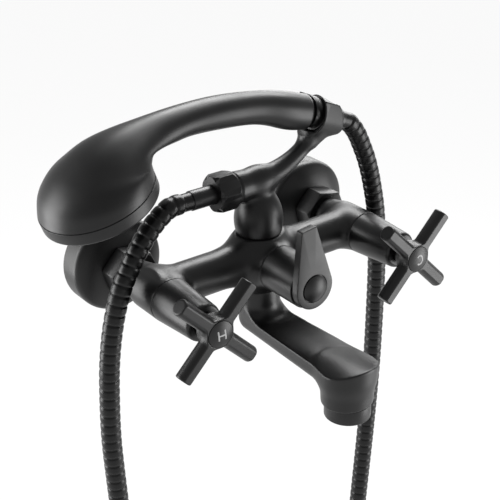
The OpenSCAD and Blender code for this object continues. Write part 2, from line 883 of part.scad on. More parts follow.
// rubber washer inside the conical nut
module handset_washer() {
  color("#161616") tail(cone_nut_s + seat_in) pipe(insert_r, tail_bore_r, washer_t);
}

// conical nut that drops into the cradle's cup
module handset_hose_nut() {
  color("#242527") tail(cone_nut_s) difference() {
    cylinder(r1 = cone_nut_r, r2 = cone_small_r, h = cone_nut_l);
    translate([0, 0, -1]) cylinder(r = hose_thread_r + fit, h = thread_in + 1);
    translate([0, 0, -1]) cylinder(r = insert_r + fit, h = seat_in + washer_t + insert_t + 1);
    translate([0, 0, -1]) cylinder(r = ferrule_r + fit, h = cone_nut_l + 2);
  }
}

// collared sleeve crimped on the hose at the hand shower
module handset_hose_ferrule() {
  base = cone_nut_s + seat_in + washer_t;
  color("#3a3b3e") tail(base) difference() {
    union() {
      cylinder(r = insert_r, h = insert_t);
      cylinder(r = ferrule_r, h = tail_hose_s - base);
    }
    translate([0, 0, -1]) cylinder(r = hose_bore_r, h = far);
  }
}

// spout

// plan of the spout: the neck's circle, the nose's circle and the tangents between them
module spout_plan() {
  arm_r = nose_r - 0.6;
  lean = asin((arm_r - spout_neck_r) / spout_out);
  translate([0, -body_out]) circle(r = spout_neck_r);
  polygon([
    [-spout_neck_r * cos(lean), spout_neck_r * sin(lean) - body_out],
    [spout_neck_r * cos(lean), spout_neck_r * sin(lean) - body_out],
    [arm_r * cos(lean), arm_r * sin(lean) - spout_line],
    [-arm_r * cos(lean), arm_r * sin(lean) - spout_line]
  ]);
  translate([0, -spout_line]) circle(r = arm_r);
}

// cast spout: round neck, flat-topped arm and a round nose
module spout() {
  arm_low = spout_top + 13;
  reach = spout_line - body_out;
  neck_flare = 9;
  heel_r = 18;
  flat_start = body_out + spout_neck_r + neck_flare;
  dip_half = nose_r - 2.5;
  dip_r = (dip_half * dip_half + spout_dip * spout_dip) / (2 * spout_dip);
  dip_fall = atan2(spout_dip, spout_line - flat_start);
  color("#2a2b2d") difference() {
    union() {
      translate([0, -body_out, -spout_top - 1]) cylinder(r = spout_neck_r, h = spout_top - hub_bottom + 1);
      intersection() {
        translate([0, 0, -arm_low]) linear_extrude(arm_low - spout_top) spout_plan();
        translate([-far / 2, -spout_line, -arm_low]) cube([far, reach + far, arm_low]);
        rotate([90, 0, 0]) linear_extrude(200) union() {
          translate([-20, -spout_top - 5]) square([40, 40]);
          translate([-10, -arm_low]) square([20, 30]);
          translate([-9, -spout_top - 5]) scale([1.35, 1]) circle(r = 8);
          translate([9, -spout_top - 5]) scale([1.35, 1]) circle(r = 8);
        }
      }
      intersection() {
        translate([0, 0, -spout_top - 1]) linear_extrude(neck_flare + 1) spout_plan();
        translate([0, -body_out, -spout_top]) rotate_extrude() difference() {
          translate([0, -1]) square([spout_neck_r + neck_flare, neck_flare + 1]);
          translate([spout_neck_r + neck_flare, neck_flare]) circle(r = neck_flare);
        }
      }
      translate([0, -spout_line, -nose_bottom])
        cylinder(r1 = nose_r - 1.4, r2 = nose_r, h = nose_bottom - spout_top);
      intersection() {
        translate([0, -spout_line + 14, -nose_bottom]) cylinder(r = nose_r + 1, h = 20);
        rotate([90, 0, 90]) translate([0, 0, -11]) linear_extrude(22) difference() {
          translate([-spout_line, -nose_bottom]) square([31, 16]);
          translate([31 - spout_line, -nose_bottom]) circle(r = 13.5);
        }
      }
    }
    rotate([90, 0, 90]) translate([spout_neck_r - body_out - heel_r, -arm_low, -far / 2])
      linear_extrude(far) difference() {
        translate([0, -1]) square([heel_r + 1, heel_r + 1]);
        translate([0, heel_r]) circle(r = heel_r);
      }
    translate([0, -flat_start, -spout_top]) rotate([90 + dip_fall, 0, 0]) translate([0, dip_r, 0])
      cylinder(r = dip_r, h = 2 * far, $fn = 256);
    translate([0, -body_out, -spout_top - 8]) cylinder(r = riser_r, h = spout_top);
    translate([0, -body_out, -hub_bottom - 9]) cylinder(r = nipple_r + fit, h = 20);
    out(0, -spout_top - 7.6) translate([0, 0, body_out]) cylinder(r = 4.4, h = reach);
    translate([0, -spout_line, -nose_bottom - 1]) cylinder(r = 12.1, h = 13);
    translate([0, -spout_line, -nose_bottom]) cylinder(r = 8, h = 20);
    translate([0, -body_out, -hub_bottom - 5]) rotate([-90, 0, 0]) cylinder(r = 2 + fit, h = 20);
  }
}

// hollow screw that joins the spout to the hub
module spout_nipple() {
  color("#b08a45") translate([0, -body_out, -hub_bottom - spout_sunk])
    pipe(nipple_r, riser_r - gap, spout_sunk + nipple_sunk);
}

// flat ring seal above the spout's neck
module spout_seal() {
  color("#161616") translate([0, -body_out, -hub_bottom]) pipe(seal_r, nipple_r + gap, seal_h);
}

// grub screw in the back of the neck that locks the spout
module spout_screw() {
  color("#8f9296") translate([0, -body_out, -hub_bottom - 5]) rotate([-90, 0, 0]) difference() {
    translate([0, 0, nipple_r]) cylinder(r = 2, h = spout_neck_r - nipple_r - 0.8);
    translate([0, 0, spout_neck_r - 2.4]) cylinder(r = 1.1, h = 4, $fn = 6);
  }
}

// flat ring seal above the aerator
module aerator_washer() {
  color("#161616") translate([0, -spout_line, -nose_bottom + 10]) pipe(11.9, 8.4, 2);
}

// ring with a threaded collar that carries the aerator
module aerator_ring() {
  color("#2a2b2d") translate([0, -spout_line, -nose_bottom - aerator_h]) rotate_extrude() polygon([
    [10.4, 0],
    [aerator_r - 1, 0],
    [aerator_r, 1],
    [aerator_r, aerator_h],
    [12, aerator_h],
    [12, aerator_h + 10],
    [10.4, aerator_h + 10]
  ]);
}

// plastic insert with a grid of holes
module aerator_insert() {
  color("#7c7f84") translate([0, -spout_line, -nose_bottom - aerator_h + 1.4]) difference() {
    cylinder(r = 10.34, h = 12);
    translate([0, 0, 2]) cylinder(r = 9.2, h = 12);
    for (ring = [1 : 3], k = [0 : ring * 6 - 1])
      rotate([0, 0, 60 * k / ring]) translate([ring * 2.7, 0, -1]) cylinder(r = 0.8, h = 5);
    translate([0, 0, -1]) cylinder(r = 0.8, h = 5);
  }
}

// hand shower

// stations of the shell: inner x, inner z, outer x, outer z and half width
shell_stations = [
  [
    head_x + head_r * cos(head_tilt), head_z + head_r * sin(head_tilt),
    head_x - head_r * cos(head_tilt), head_z - head_r * sin(head_tilt), head_r
  ],
  [-78.9, 84.4, -142.3, 70.9, head_r - 0.8],
  [-79.7, 87.9, -136.1, 81, head_r - 3.3],
  [-78.7, 88.5, -127.8, 89.4, 26.8],
  [-76.2, 90.8, -115.5, 98.5, 21.3],
  [-69.7, 91.1, -99.7, 104.4, 16.7],
  [-60, 91, -78, 108.2, 12.4],
  [-49.9, 91.8, -54.1, 110.5, 10.5],
  [-30.1, 90.9, -28.3, 110.8, 9.6],
  [-4.9, 88.3, -0.3, 107.8, 8.9],
  [14.8, 82.1, 20.6, 103.6, 10.6],
  [
    tail_x + end_drop * cos(tail_fall) - tail_r * sin(tail_fall),
    tail_z - end_drop * sin(tail_fall) - tail_r * cos(tail_fall),
    tail_x + tail_r * sin(tail_fall), tail_z + tail_r * cos(tail_fall), tail_r
  ]
];

function shell_curve(steps) = [
  for (i = [0 : len(shell_stations) - 2], k = [0 : steps - 1])
    curve_point(
      route_point(shell_stations, i - 1),
      shell_stations[i],
      shell_stations[i + 1],
      route_point(shell_stations, i + 2),
      k / steps
    ),
  shell_stations[len(shell_stations) - 1]
];

// one ring of points round the shell, set in by a wall
function shell_ring(q, wall, n) =
  let (
    half = norm([q[2] - q[0], q[3] - q[1]]) / 2,
    mid = [(q[0] + q[2]) / 2, (q[1] + q[3]) / 2],
    up = [(q[2] - q[0]) / (2 * half), (q[3] - q[1]) / (2 * half)]
  )
  [for (k = [0 : n - 1]) [
    mid[0] + (half - wall) * cos(360 * k / n) * up[0],
    (q[4] - wall) * sin(360 * k / n) - body_out,
    mid[1] + (half - wall) * cos(360 * k / n) * up[1]
  ]];

// hollow shell: the back of the head and the bowed handle in one
module handset_shell() {
  n = 32;
  curve = shell_curve(3);
  count = len(curve);
  points = concat(
    [for (q = curve) each shell_ring(q, 0, n)],
    [for (q = curve) each shell_ring(q, shell_wall, n)]
  );
  faces = concat(
    [for (i = [0 : count - 2]) each ring_faces(i, n, true)],
    [for (i = [count : 2 * count - 2]) each ring_faces(i, n, false)],
    end_faces(0, count, n, false),
    end_faces(count - 1, 2 * count - 1, n, true)
  );
  color("#2a2b2d") polyhedron(points = points, faces = faces, convexity = 10);
}

// ring that closes the head and frames the spray plate
module head_ring() {
  color("#2a2b2d") head() rotate_extrude() difference() {
    union() {
      square([head_r - 2.4, head_ring_h]);
      square([head_r, head_ring_h - 2.4]);
      translate([head_r - 2.4, head_ring_h - 2.4]) circle(r = 2.4);
    }
    square([head_r - 6, head_ring_h + 1]);
    translate([0, head_ring_h - 3.6]) square([head_r - 3.6, 5]);
  }
}

// soft mat with the spray nozzles, behind the plate
module spray_nozzles() {
  color("#3b3d40") head() union() {
    translate([0, 0, head_ring_h - 3.6]) cylinder(r = head_r - 3.9, h = 1.4);
    for (ring = [1 : 4], k = [0 : ring * 6 - 1])
      rotate([0, 0, 60 * k / ring]) translate([ring * 6.4, 0, head_ring_h - 2.4])
        cylinder(r1 = 1.1, r2 = 0.8, h = 2.9);
    translate([0, 0, head_ring_h - 2.4]) cylinder(r1 = 1.1, r2 = 0.8, h = 2.9);
  }
}

// perforated plate that the nozzles pass through
module spray_plate() {
  color("#303134") head(head_ring_h - 2.2) difference() {
    cylinder(r = head_r - 3.9, h = 1.6);
    for (ring = [1 : 4], k = [0 : ring * 6 - 1])
      rotate([0, 0, 60 * k / ring]) translate([ring * 6.4, 0, -1]) cylinder(r = 1.2, h = 4);
    translate([0, 0, -1]) cylinder(r = 1.2, h = 4);
  }
}

// the handle's leaning end plane, and all that lies before it
module handle_end() {
  tail(end_drop / 2) rotate([0, -end_lean, 0]) children();
}

module below() {
  translate([-far / 2, -far / 2, -far]) cube(far);
}

// wedge-shaped collar between the handle's leaning end and the cradle's cup
module handset_collar() {
  color("#2a2b2d") difference() {
    union() {
      difference() {
        tail() cylinder(r = tail_r - 0.1, h = collar_front);
        handle_end() translate([0, 0, end_groove]) below();
      }
      difference() {
        tail() cylinder(r = tail_r - end_groove, h = collar_front);
        handle_end() below();
      }
    }
    tail(-1) cylinder(r = plug_r, h = far);
    tail(plug_end) cylinder(r = shoulder_r, h = far);
  }
}

// threaded insert: a plug in the handle, a shoulder in the collar and the hose thread
module handset_connector() {
  color("#b08a45") tail() rotate_extrude() polygon([
    [tail_bore_r, -plug_l],
    [plug_r, -plug_l],
    [plug_r, plug_end],
    [shoulder_r, plug_end],
    [shoulder_r, cup_s - 0.4],
    [hose_thread_r, cup_s - 0.4],
    [hose_thread_r, cone_nut_s + thread_in],
    [insert_r, cone_nut_s + thread_in],
    [insert_r, cone_nut_s + seat_in],
    [tail_bore_r, cone_nut_s + seat_in]
  ]);
}

// which piece to draw

wall_connector(-1);  // hot_wall_connector
wall_connector(1);  // cold_wall_connector
wall_flange(-1);  // hot_wall_flange
wall_flange(1);  // cold_wall_flange
union_nut(-1);  // hot_union_nut
union_nut(1);  // cold_union_nut
inlet_washer(-1);  // hot_inlet_washer
inlet_washer(1);  // cold_inlet_washer
mixer_body();
seat_seal(-1);  // hot_seat_seal
seat_seal(1);  // cold_seat_seal
fixed_disc(-1);  // hot_fixed_disc
fixed_disc(1);  // cold_fixed_disc
moving_disc(-1);  // hot_moving_disc
moving_disc(1);  // cold_moving_disc
valve_body(-1);  // hot_valve_body
valve_body(1);  // cold_valve_body
spindle(-1);  // hot_spindle
spindle(1);  // cold_spindle
bonnet(-1);  // hot_bonnet
bonnet(1);  // cold_bonnet
handle(-1);  // hot_handle
handle(1);  // cold_handle
handle_screw(-1);  // hot_handle_screw
handle_screw(1);  // cold_handle_screw
index_cap(-1);  // hot_index_cap
index_cap(1);  // cold_index_cap
diverter_seal();
diverter_rotor();
diverter_cartridge();
diverter_spindle();
diverter_sleeve();
diverter_lever();
lever_screw();
lever_button();
cradle();
cradle_nipple();
cradle_seal();
outlet_washer();
outlet_hose_nut();
outlet_hose_ferrule();
shower_hose();
handset_washer();
handset_hose_nut();
handset_hose_ferrule();
spout();
spout_nipple();
spout_seal();
spout_screw();
aerator_washer();
aerator_ring();
aerator_insert();
handset_shell();
head_ring();
spray_nozzles();
spray_plate();
handset_collar();
handset_connector();
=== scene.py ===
import bpy
import math
from itertools import product

import bmesh
import numpy as np
from mathutils import Matrix, Vector


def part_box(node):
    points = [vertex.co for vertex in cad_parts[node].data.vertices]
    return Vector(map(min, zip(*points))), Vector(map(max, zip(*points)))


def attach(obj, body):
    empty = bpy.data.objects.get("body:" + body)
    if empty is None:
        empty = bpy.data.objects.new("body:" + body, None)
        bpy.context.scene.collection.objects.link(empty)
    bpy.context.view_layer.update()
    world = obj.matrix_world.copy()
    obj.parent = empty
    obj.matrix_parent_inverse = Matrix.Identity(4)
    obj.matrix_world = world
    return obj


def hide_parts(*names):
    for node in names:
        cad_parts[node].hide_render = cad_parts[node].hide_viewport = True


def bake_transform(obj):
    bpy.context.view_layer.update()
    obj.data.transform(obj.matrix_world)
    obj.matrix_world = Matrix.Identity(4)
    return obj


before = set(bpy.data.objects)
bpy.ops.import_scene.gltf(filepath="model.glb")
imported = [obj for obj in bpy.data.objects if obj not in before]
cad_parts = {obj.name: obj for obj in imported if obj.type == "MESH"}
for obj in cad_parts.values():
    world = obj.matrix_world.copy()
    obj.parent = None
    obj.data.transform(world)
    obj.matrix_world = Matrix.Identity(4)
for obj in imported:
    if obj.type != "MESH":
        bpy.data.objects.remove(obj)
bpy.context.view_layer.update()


# Wall connectors. Turned from brass bar, one for each inlet, and screwed into the wall.
# The wall thread is cut with a single-point tool, so its ridges run round as a helix.
MM = 0.001
SIDES = ("hot", "cold")
OUT = (0, -1, 0)


def span(node):
    """Lowest corner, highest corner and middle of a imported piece, in millimetres."""
    low, high = (np.array(corner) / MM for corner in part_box(node))
    return low, high, (low + high) / 2


def made(tree, kind, inputs, **settings):
    """A node of a tree: its settings, and each input set to a value or fed by another node."""
    node = tree.nodes.new(kind)
    for name, value in settings.items():
        setattr(node, name, value)
    for name, value in inputs.items():
        if isinstance(value, bpy.types.NodeSocket):
            tree.links.new(value, node.inputs[name])
        else:
            node.inputs[name].default_value = value
    return node


def noise(tree, place, size_mm, detail=3.0):
    """Cloudy values from 0 to 1, in patches of about this size."""
    inputs = {"Vector": place, "Scale": 1 / (size_mm * MM), "Detail": detail}
    return made(tree, "ShaderNodeTexNoise", inputs).outputs["Fac"]


def spread(tree, value, low, high):
    """Maps the middle of a cloudy value to a range."""
    inputs = {"Value": value, "From Min": 0.3, "From Max": 0.7, "To Min": low, "To Max": high}
    return made(tree, "ShaderNodeMapRange", inputs).outputs["Result"]


def finish(name, dark, light, rough, metallic=0.0, grain_mm=0.5, relief=0.15, patch_mm=18.0, gloss=0.38):
    """A whole finish: patchy tint and roughness, and a fine grain."""
    grain_height = 0.02
    material = bpy.data.materials.new(name)
    material.use_nodes = True
    tree = material.node_tree
    shader = tree.nodes["Principled BSDF"].inputs
    place = tree.nodes.new("ShaderNodeTexCoord").outputs["Object"]
    patches = noise(tree, place, patch_mm)
    tint = made(tree, "ShaderNodeMix", {
        "Factor": spread(tree, patches, 0, 1), "A": (*dark, 1), "B": (*light, 1),
    }, data_type="RGBA")
    bump = made(tree, "ShaderNodeBump", {
        "Height": noise(tree, place, grain_mm, 2.0), "Strength": relief, "Distance": grain_height * MM,
    })
    tree.links.new(tint.outputs["Result"], shader["Base Color"])
    tree.links.new(spread(tree, patches, *rough), shader["Roughness"])
    tree.links.new(bump.outputs["Normal"], shader["Normal"])
    shader["Metallic"].default_value = metallic
    shader["Specular IOR Level"].default_value = gloss
    return material


brass = finish("turned_brass", (0.50, 0.31, 0.10), (0.62, 0.41, 0.16), (0.22, 0.36), metallic=1.0)


def turned(outline, origin, along, count=128):
    """Points and faces of an outline of (radius, height) spun round an axis."""
    along = np.array(along, float)
    side = np.cross(along, (0.3, 0.2, 0.9))
    side = side / np.linalg.norm(side)
    other = np.cross(along, side)
    angles = np.arange(count) * 2 * math.pi / count
    ring = np.outer(np.cos(angles), side) + np.outer(np.sin(angles), other)
    points, rows = [], []
    for radius, height in outline:
        centre = np.array(origin, float) + height * along
        if radius == 0:
            rows.append([len(points)])
            points.append(centre)
        else:
            rows.append(range(len(points), len(points) + count))
            points.extend(centre + radius * ring)
    pairs = list(zip(rows, rows[1:]))
    if outline[0][0] > 0:
        pairs.append((rows[-1], rows[0]))
    faces = []
    for a, b in pairs:
        for k in range(count):
            n = (k + 1) % count
            if len(a) == 1:
                faces.append((a[0], b[k], b[n]))
            elif len(b) == 1:
                faces.append((a[k], a[n], b[0]))
            else:
                faces.append((a[k], a[n], b[n], b[k]))
    return points, faces


def rounded(corners, steps=5):
    """A closed outline whose corners (x, y, radius) become arcs."""
    outline = []
    for i, (x, y, radius) in enumerate(corners):
        corner = np.array((x, y), float)
        before = np.array(corners[i - 1][:2], float) - corner
        after = np.array(corners[(i + 1) % len(corners)][:2], float) - corner
        if radius == 0:
            outline.append((x, y))
            continue
        u = before / np.linalg.norm(before)
        v = after / np.linalg.norm(after)
        half = math.acos(max(-1, min(1, float(u @ v)))) / 2
        reach = min(radius / math.tan(half), 0.49 * np.linalg.norm(before), 0.49 * np.linalg.norm(after))
        radius = reach * math.tan(half)
        middle = corner + (u + v) / np.linalg.norm(u + v) * radius / math.sin(half)
        first = corner + u * reach - middle
        last = corner + v * reach - middle
        sweep = math.atan2(first[0] * last[1] - first[1] * last[0], float(first @ last))
        for k in range(steps + 1):
            c, s = math.cos(sweep * k / steps), math.sin(sweep * k / steps)
            outline.append(tuple(middle + (c * first[0] - s * first[1], s * first[0] + c * first[1])))
    return outline


def placed(name, data):
    """A new object in the scene, with this mesh, lamp or camera."""
    whole = bpy.data.objects.new(name, data)
    bpy.context.scene.collection.objects.link(whole)
    return whole


def mesh_of(name, points, faces=(), edges=()):
    """A new mesh from points in millimetres."""
    mesh = bpy.data.meshes.new(name)
    mesh.from_pydata(np.array(points) * MM, edges, faces)
    return mesh


def face_out(mesh):
    """Turns all faces of a mesh outward."""
    form = bmesh.new()
    form.from_mesh(mesh)
    bmesh.ops.recalc_face_normals(form, faces=form.faces)
    form.to_mesh(mesh)
    form.free()


def settle(name, mesh, body, nodes, sharp):
    """A finished mesh as an object on its body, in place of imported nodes."""
    mesh.shade_smooth()
    if sharp:
        mesh.set_sharp_from_angle(angle=math.radians(sharp))
    whole = placed(name, mesh)
    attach(whole, body)
    if nodes:
        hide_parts(*nodes)
    return whole


def piece(name, form, material, body, nodes, sharp=40, outward=True):
    """Points and faces, in millimetres, as a finished piece."""
    mesh = mesh_of(name, *form)
    if outward:
        face_out(mesh)
    mesh.materials.append(material)
    return settle(name, mesh, body, nodes, sharp)


wall_thread_r, wall_thread_pitch, wall_thread_depth, bore_r = 10.48, 1.81, 0.9, 7.5
thread_steps, count = 8, 64
step_d, step_slant = 1.0, 0.02
for side in SIDES:
    node = side + "_wall_connector"
    low, high, middle = span(node)
    thread_back, union_front = -high[1], -low[1]
    union_r = (high[0] - low[0]) / 2
    outline = [(bore_r, thread_back), (wall_thread_r - wall_thread_depth, thread_back)]
    rings = int(-thread_back / wall_thread_pitch * thread_steps)
    outline += [(wall_thread_r, thread_back * (1 - (k + 0.5) / rings)) for k in range(rings)]
    outline += [(wall_thread_r, step_d - step_slant), (union_r, step_d + step_slant)]
    outline += [(union_r, union_front), (bore_r, union_front)]
    points, faces = turned(outline, (middle[0], 0, middle[2]), OUT, count)
    points = np.array(points)
    for k in range(rings):
        row = slice((2 + k) * count, (3 + k) * count)
        height = -points[row, 1]
        phase = height / wall_thread_pitch - np.arange(count) / count
        ridge = np.abs(2 * (phase - np.floor(phase)) - 1)
        lead = np.clip((height - thread_back) / wall_thread_pitch, 0, 1)
        radius = wall_thread_r - wall_thread_depth * (1 - ridge * lead)
        for axis in (0, 2):
            points[row, axis] = middle[axis] + (points[row, axis] - middle[axis]) / wall_thread_r * radius
    piece(node, (points, faces), brass, "mixer", [node], sharp=30)


# Wall flanges. Spun from sheet brass and coated matt black, pushed over the connectors.
# A straight rim stands on the wall, and a rounded shoulder slopes up to a flat land.
coat_dark = (0.0042, 0.0042, 0.0044)
coat_light = (0.0058, 0.0058, 0.0060)
black_coat = finish("matt_black_coat", coat_dark, coat_light, (0.34, 0.42), grain_mm=0.35, relief=0.10)

flange_rim, flange_round, flange_wall, flange_bore = 12.0, 5.0, 1.4, 12.7
land_r, land_inset = 17.14, 1.0


def coated(name, form, node, body="mixer", sharp=40, outward=True):
    """A piece in the matt black coat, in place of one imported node."""
    return piece(name, form, black_coat, body, [node], sharp, outward)


def flange_side(radius, round_r, land, steps=10):
    """The rim, the shoulder and the slope of the flange, from the wall to its land."""
    middle = np.array((radius - round_r, flange_rim))
    way = np.array(land) - middle
    turn = math.atan2(way[1], way[0]) - math.acos(round_r / np.linalg.norm(way))
    arc = [
        tuple(middle + round_r * np.array((math.cos(turn * k / steps), math.sin(turn * k / steps))))
        for k in range(steps + 1)
    ]
    return [(radius, 0)] + arc + [tuple(land)]


for side in SIDES:
    node = side + "_wall_flange"
    low, high, middle = span(node)
    flange_r = (high[0] - low[0]) / 2
    land_d = -low[1]
    under_d = land_d - flange_wall
    outer = flange_side(flange_r, flange_round, (land_r, land_d))
    inner = flange_side(flange_r - flange_wall, flange_round - flange_wall, (land_r - land_inset, under_d))
    outline = outer + [(flange_bore, land_d), (flange_bore, under_d)] + inner[::-1]
    coated(node, turned(outline, (middle[0], 0, middle[2]), OUT), node)


# Union nuts. Hexagon bar, drilled, chamfered on the lathe and coated with the rest.
# Each pulls the body's collar onto its connector and stands against the flange.
def skin(rows, count):
    """Faces between closed rings of points, from the last ring back to the first."""
    faces = []
    for row in range(rows):
        a, b = row * count, (row + 1) % rows * count
        faces += [(a + k, a + (k + 1) % count, b + (k + 1) % count, b + k) for k in range(count)]
    return faces


def hexagon(af, height, chamfer, bore, turn, corner_r=0.8, count=144):
    """Points and faces of a drilled hexagon nut with chamfered corners, standing on Z = 0."""
    angles = np.arange(count) * 2 * math.pi / count
    folded = (angles + math.pi / 6) % (math.pi / 3) - math.pi / 6
    flat = af / 2
    across = flat / math.cos(math.pi / 6)
    sharp_r = flat / np.cos(folded)
    middle_r = (flat - corner_r) / math.cos(math.pi / 6)
    off = math.pi / 6 - np.abs(folded)
    lateral = middle_r * np.sin(off)
    round_r = middle_r * np.cos(off) + np.sqrt(np.maximum(corner_r ** 2 - lateral ** 2, 0))
    outer = np.where(lateral < corner_r * 0.5, np.minimum(sharp_r, round_r), sharp_r)
    drop = chamfer * (outer - flat) / (across - flat)
    edge, bevel = 0.25, 1.2
    rows = [
        (np.full(count, bore), np.zeros(count)),
        (outer - edge - drop * bevel, np.zeros(count)),
        (outer - edge * 0.3, drop + edge * 0.4),
        (outer, drop + edge),
        (outer, height - drop - edge),
        (outer - edge * 0.3, height - drop - edge * 0.4),
        (outer - edge - drop * bevel, np.full(count, height)),
        (np.full(count, bore), np.full(count, height)),
    ]
    points = []
    for radius, z in rows:
        c, s = np.cos(angles + turn), np.sin(angles + turn)
        points.extend(np.stack((radius * c, radius * s, z), 1))
    return np.array(points), skin(len(rows), count)


def stand(points, origin, x_axis, y_axis, z_axis):
    """Moves points from a piece's own axes to the object's."""
    axes = np.array((x_axis, y_axis, z_axis), float)
    return np.array(origin) + np.array(points) @ axes


union_af, union_bevel, union_bore, union_turn = 29.0, 1.2, 11.06, math.radians(17.5)
for side in SIDES:
    node = side + "_union_nut"
    low, high, middle = span(node)
    points, faces = hexagon(union_af, high[1] - low[1], union_bevel, union_bore, union_turn)
    points = stand(points, (middle[0], high[1], 0), (1, 0, 0), (0, 0, 1), OUT)
    coated(node, (points, faces), node, sharp=28)


# Mixer body. One brass casting, machined at its seats and coated: two inlet necks with
# valve bosses, the cross tube that swells to the hub, and the short barrel for the diverter.
FAR = 9.0  # a field value well clear of any surface


def merge(a, b, k):
    """Two fields joined with a fillet of about k."""
    h = np.clip(0.5 + 0.5 * (b - a) / k, 0, 1)
    return b * (1 - h) + a * h - k * h * (1 - h)


def carve(a, b, k):
    """Field a with b taken out, the edge rounded by about k."""
    return -merge(-a, b, k)


def both(a, b, k):
    """What lies in both fields, the edge rounded by about k."""
    return -merge(-a, -b, k)


def arc_radius(half, rise):
    """Radius of an arc that rises this far over a chord of this half length."""
    return (half ** 2 + rise ** 2) / (2 * rise)


def rod(p, start, end, r0, r1=None, edge=0.0):
    """Distance to a round bar or cone with rounded end edges."""
    start = np.array(start, float)
    axis = np.array(end, float) - start
    length = np.linalg.norm(axis)
    axis = axis / length
    h = sum((p[i] - start[i]) * axis[i] for i in range(3))
    off = np.sqrt(sum((p[i] - start[i] - h * axis[i]) ** 2 for i in range(3)))
    slope = 0 if r1 is None else (r1 - r0) / length
    across = (off - r0 - slope * h) / math.sqrt(1 + slope * slope) + edge
    along = np.abs(h - length / 2) - length / 2 + edge
    outside = np.hypot(np.maximum(across, 0), np.maximum(along, 0))
    return np.minimum(np.maximum(across, along), 0) + outside - edge


def slopes(field, points, reach=0.04):
    """Gradient of a field at points."""
    columns = []
    for axis in range(3):
        step = np.zeros((3, 1))
        step[axis] = reach
        columns.append((field(points.T + step) - field(points.T - step)) / (2 * reach))
    return np.stack(columns, 1)


def cast(field, low, high, step):
    """Points and faces of the surface where a field is zero, one point in each crossed cell."""
    axes = [np.arange(a - 2 * step, b + 3 * step, step) for a, b in zip(low, high)]
    value = field(np.meshgrid(*axes, indexing="ij"))
    cells = tuple(n - 1 for n in value.shape)
    total = np.zeros(cells + (3,))
    hits = np.zeros(cells)

    def corner(c):
        return value[tuple(slice(c[i], cells[i] + c[i]) for i in range(3))]

    for c in product((0, 1), repeat=3):
        for axis in range(3):
            if c[axis]:
                continue
            a, b = corner(c), corner(tuple(c[i] + (i == axis) for i in range(3)))
            crossed = (a < 0) != (b < 0)
            part = a / np.where(crossed, a - b, 1)
            for i in range(3):
                total[..., i] += np.where(crossed, c[i] + (part if i == axis else 0), 0)
            hits += crossed
    used = hits > 0
    number = np.full(cells, -1)
    number[used] = np.arange(used.sum())
    start = np.array([a[0] for a in axes])
    points = start + (np.argwhere(used) + total[used] / hits[used][:, None]) * step
    faces = []
    inside = value < 0
    for axis in range(3):
        first, second = (axis + 1) % 3, (axis + 2) % 3
        near = tuple(slice(0, -1) if i == axis else slice(1, -1) for i in range(3))
        far = tuple(slice(1, None) if i == axis else slice(1, -1) for i in range(3))
        places = np.argwhere(inside[near] != inside[far])
        places[:, first] += 1
        places[:, second] += 1
        quad = []
        for d in ((0, 0), (1, 0), (1, 1), (0, 1)):
            spot = places.copy()
            spot[:, first] -= d[0]
            spot[:, second] -= d[1]
            quad.append(number[tuple(spot.T)])
        quad = np.stack(quad, 1)
        outward = inside[tuple(places.T)]
        faces.append(np.where(outward[:, None], quad, quad[:, ::-1]))
    for _ in range(4):
        slope = slopes(field, points)
        move = field(points.T)[:, None] * slope / np.maximum((slope ** 2).sum(1), 0.1)[:, None]
        points = points - np.clip(move, -step / 2, step / 2)
    return points, np.concatenate(faces).tolist()


body_low, body_high, _ = span("mixer_body")
body_d = 59.0
inlet_x = 75.0
tube_r, tube_bore = 12.5, 6.5
flare_x, flare_r, flare_top = 34.0, 57.0, 16.5
collar_d, neck_d, neck_r, collar_r = 29.0, 32.0, 11.0, 12.34
boss_start, boss_full, boss_face, boss_r = 36.3, 51.0, 74.0, 13.8
hub_top, hub_bottom, hub_r, hub_bulge = 17.5, -19.0, 17.0, 3.0
barrel_r, barrel_face = 14.5, 80.0
valve_floor, valve_bore = 51.0, 10.01
diverter_floor, diverter_bore = 45.0, 10.46
hub_bore, nipple_bore, nipple_high, nipple_low = 6.0, 8.06, 10.5, -12.0


def body_field(p):
    x, d, z = p[0], -p[1], p[2]
    swell = np.sqrt(np.maximum(flare_r ** 2 - np.maximum(flare_x - np.abs(x), 0) ** 2, 0))
    tube = np.hypot(d - body_d, z) - np.minimum(tube_r + flare_r - swell, flare_top)
    tube = both(tube, np.abs(x) - inlet_x, 1.0)
    off = np.hypot(np.abs(x) - inlet_x, z)
    radius = np.interp(d, (neck_d - 0.01, neck_d, boss_start, boss_full), (collar_r, neck_r, neck_r, boss_r))
    boss = both(off - radius, np.maximum(collar_d - d, d - boss_face), 0.5)
    hub_arc = arc_radius((hub_top - hub_bottom) / 2, hub_bulge)
    hub = np.hypot(np.hypot(x, d - body_d) - hub_r + hub_arc, z - (hub_top + hub_bottom) / 2) - hub_arc
    barrel = rod(p, (0, -body_d, 0), (0, -barrel_face, 0), barrel_r, edge=0.4)
    whole = merge(merge(merge(tube, boss, 6.0), hub, 9.0), barrel, 6.0)
    whole = both(whole, np.maximum(hub_bottom - z, z - hub_top), 0.8)
    whole = np.maximum(whole, d - barrel_face)
    bores = [
        off - np.where(d > valve_floor, valve_bore, bore_r),
        np.maximum(np.hypot(d - body_d, z) - tube_bore, np.abs(x) - inlet_x),
        np.maximum(np.hypot(x, z) - diverter_bore, diverter_floor - d),
        np.hypot(x, d - body_d) - np.where((z > nipple_high) | (z < nipple_low), nipple_bore, hub_bore),
    ]
    for bore in bores:
        whole = np.maximum(whole, -bore)
    return whole


coated("mixer_body_cast", cast(body_field, body_low, body_high, 0.9), "mixer_body", sharp=0, outward=False)


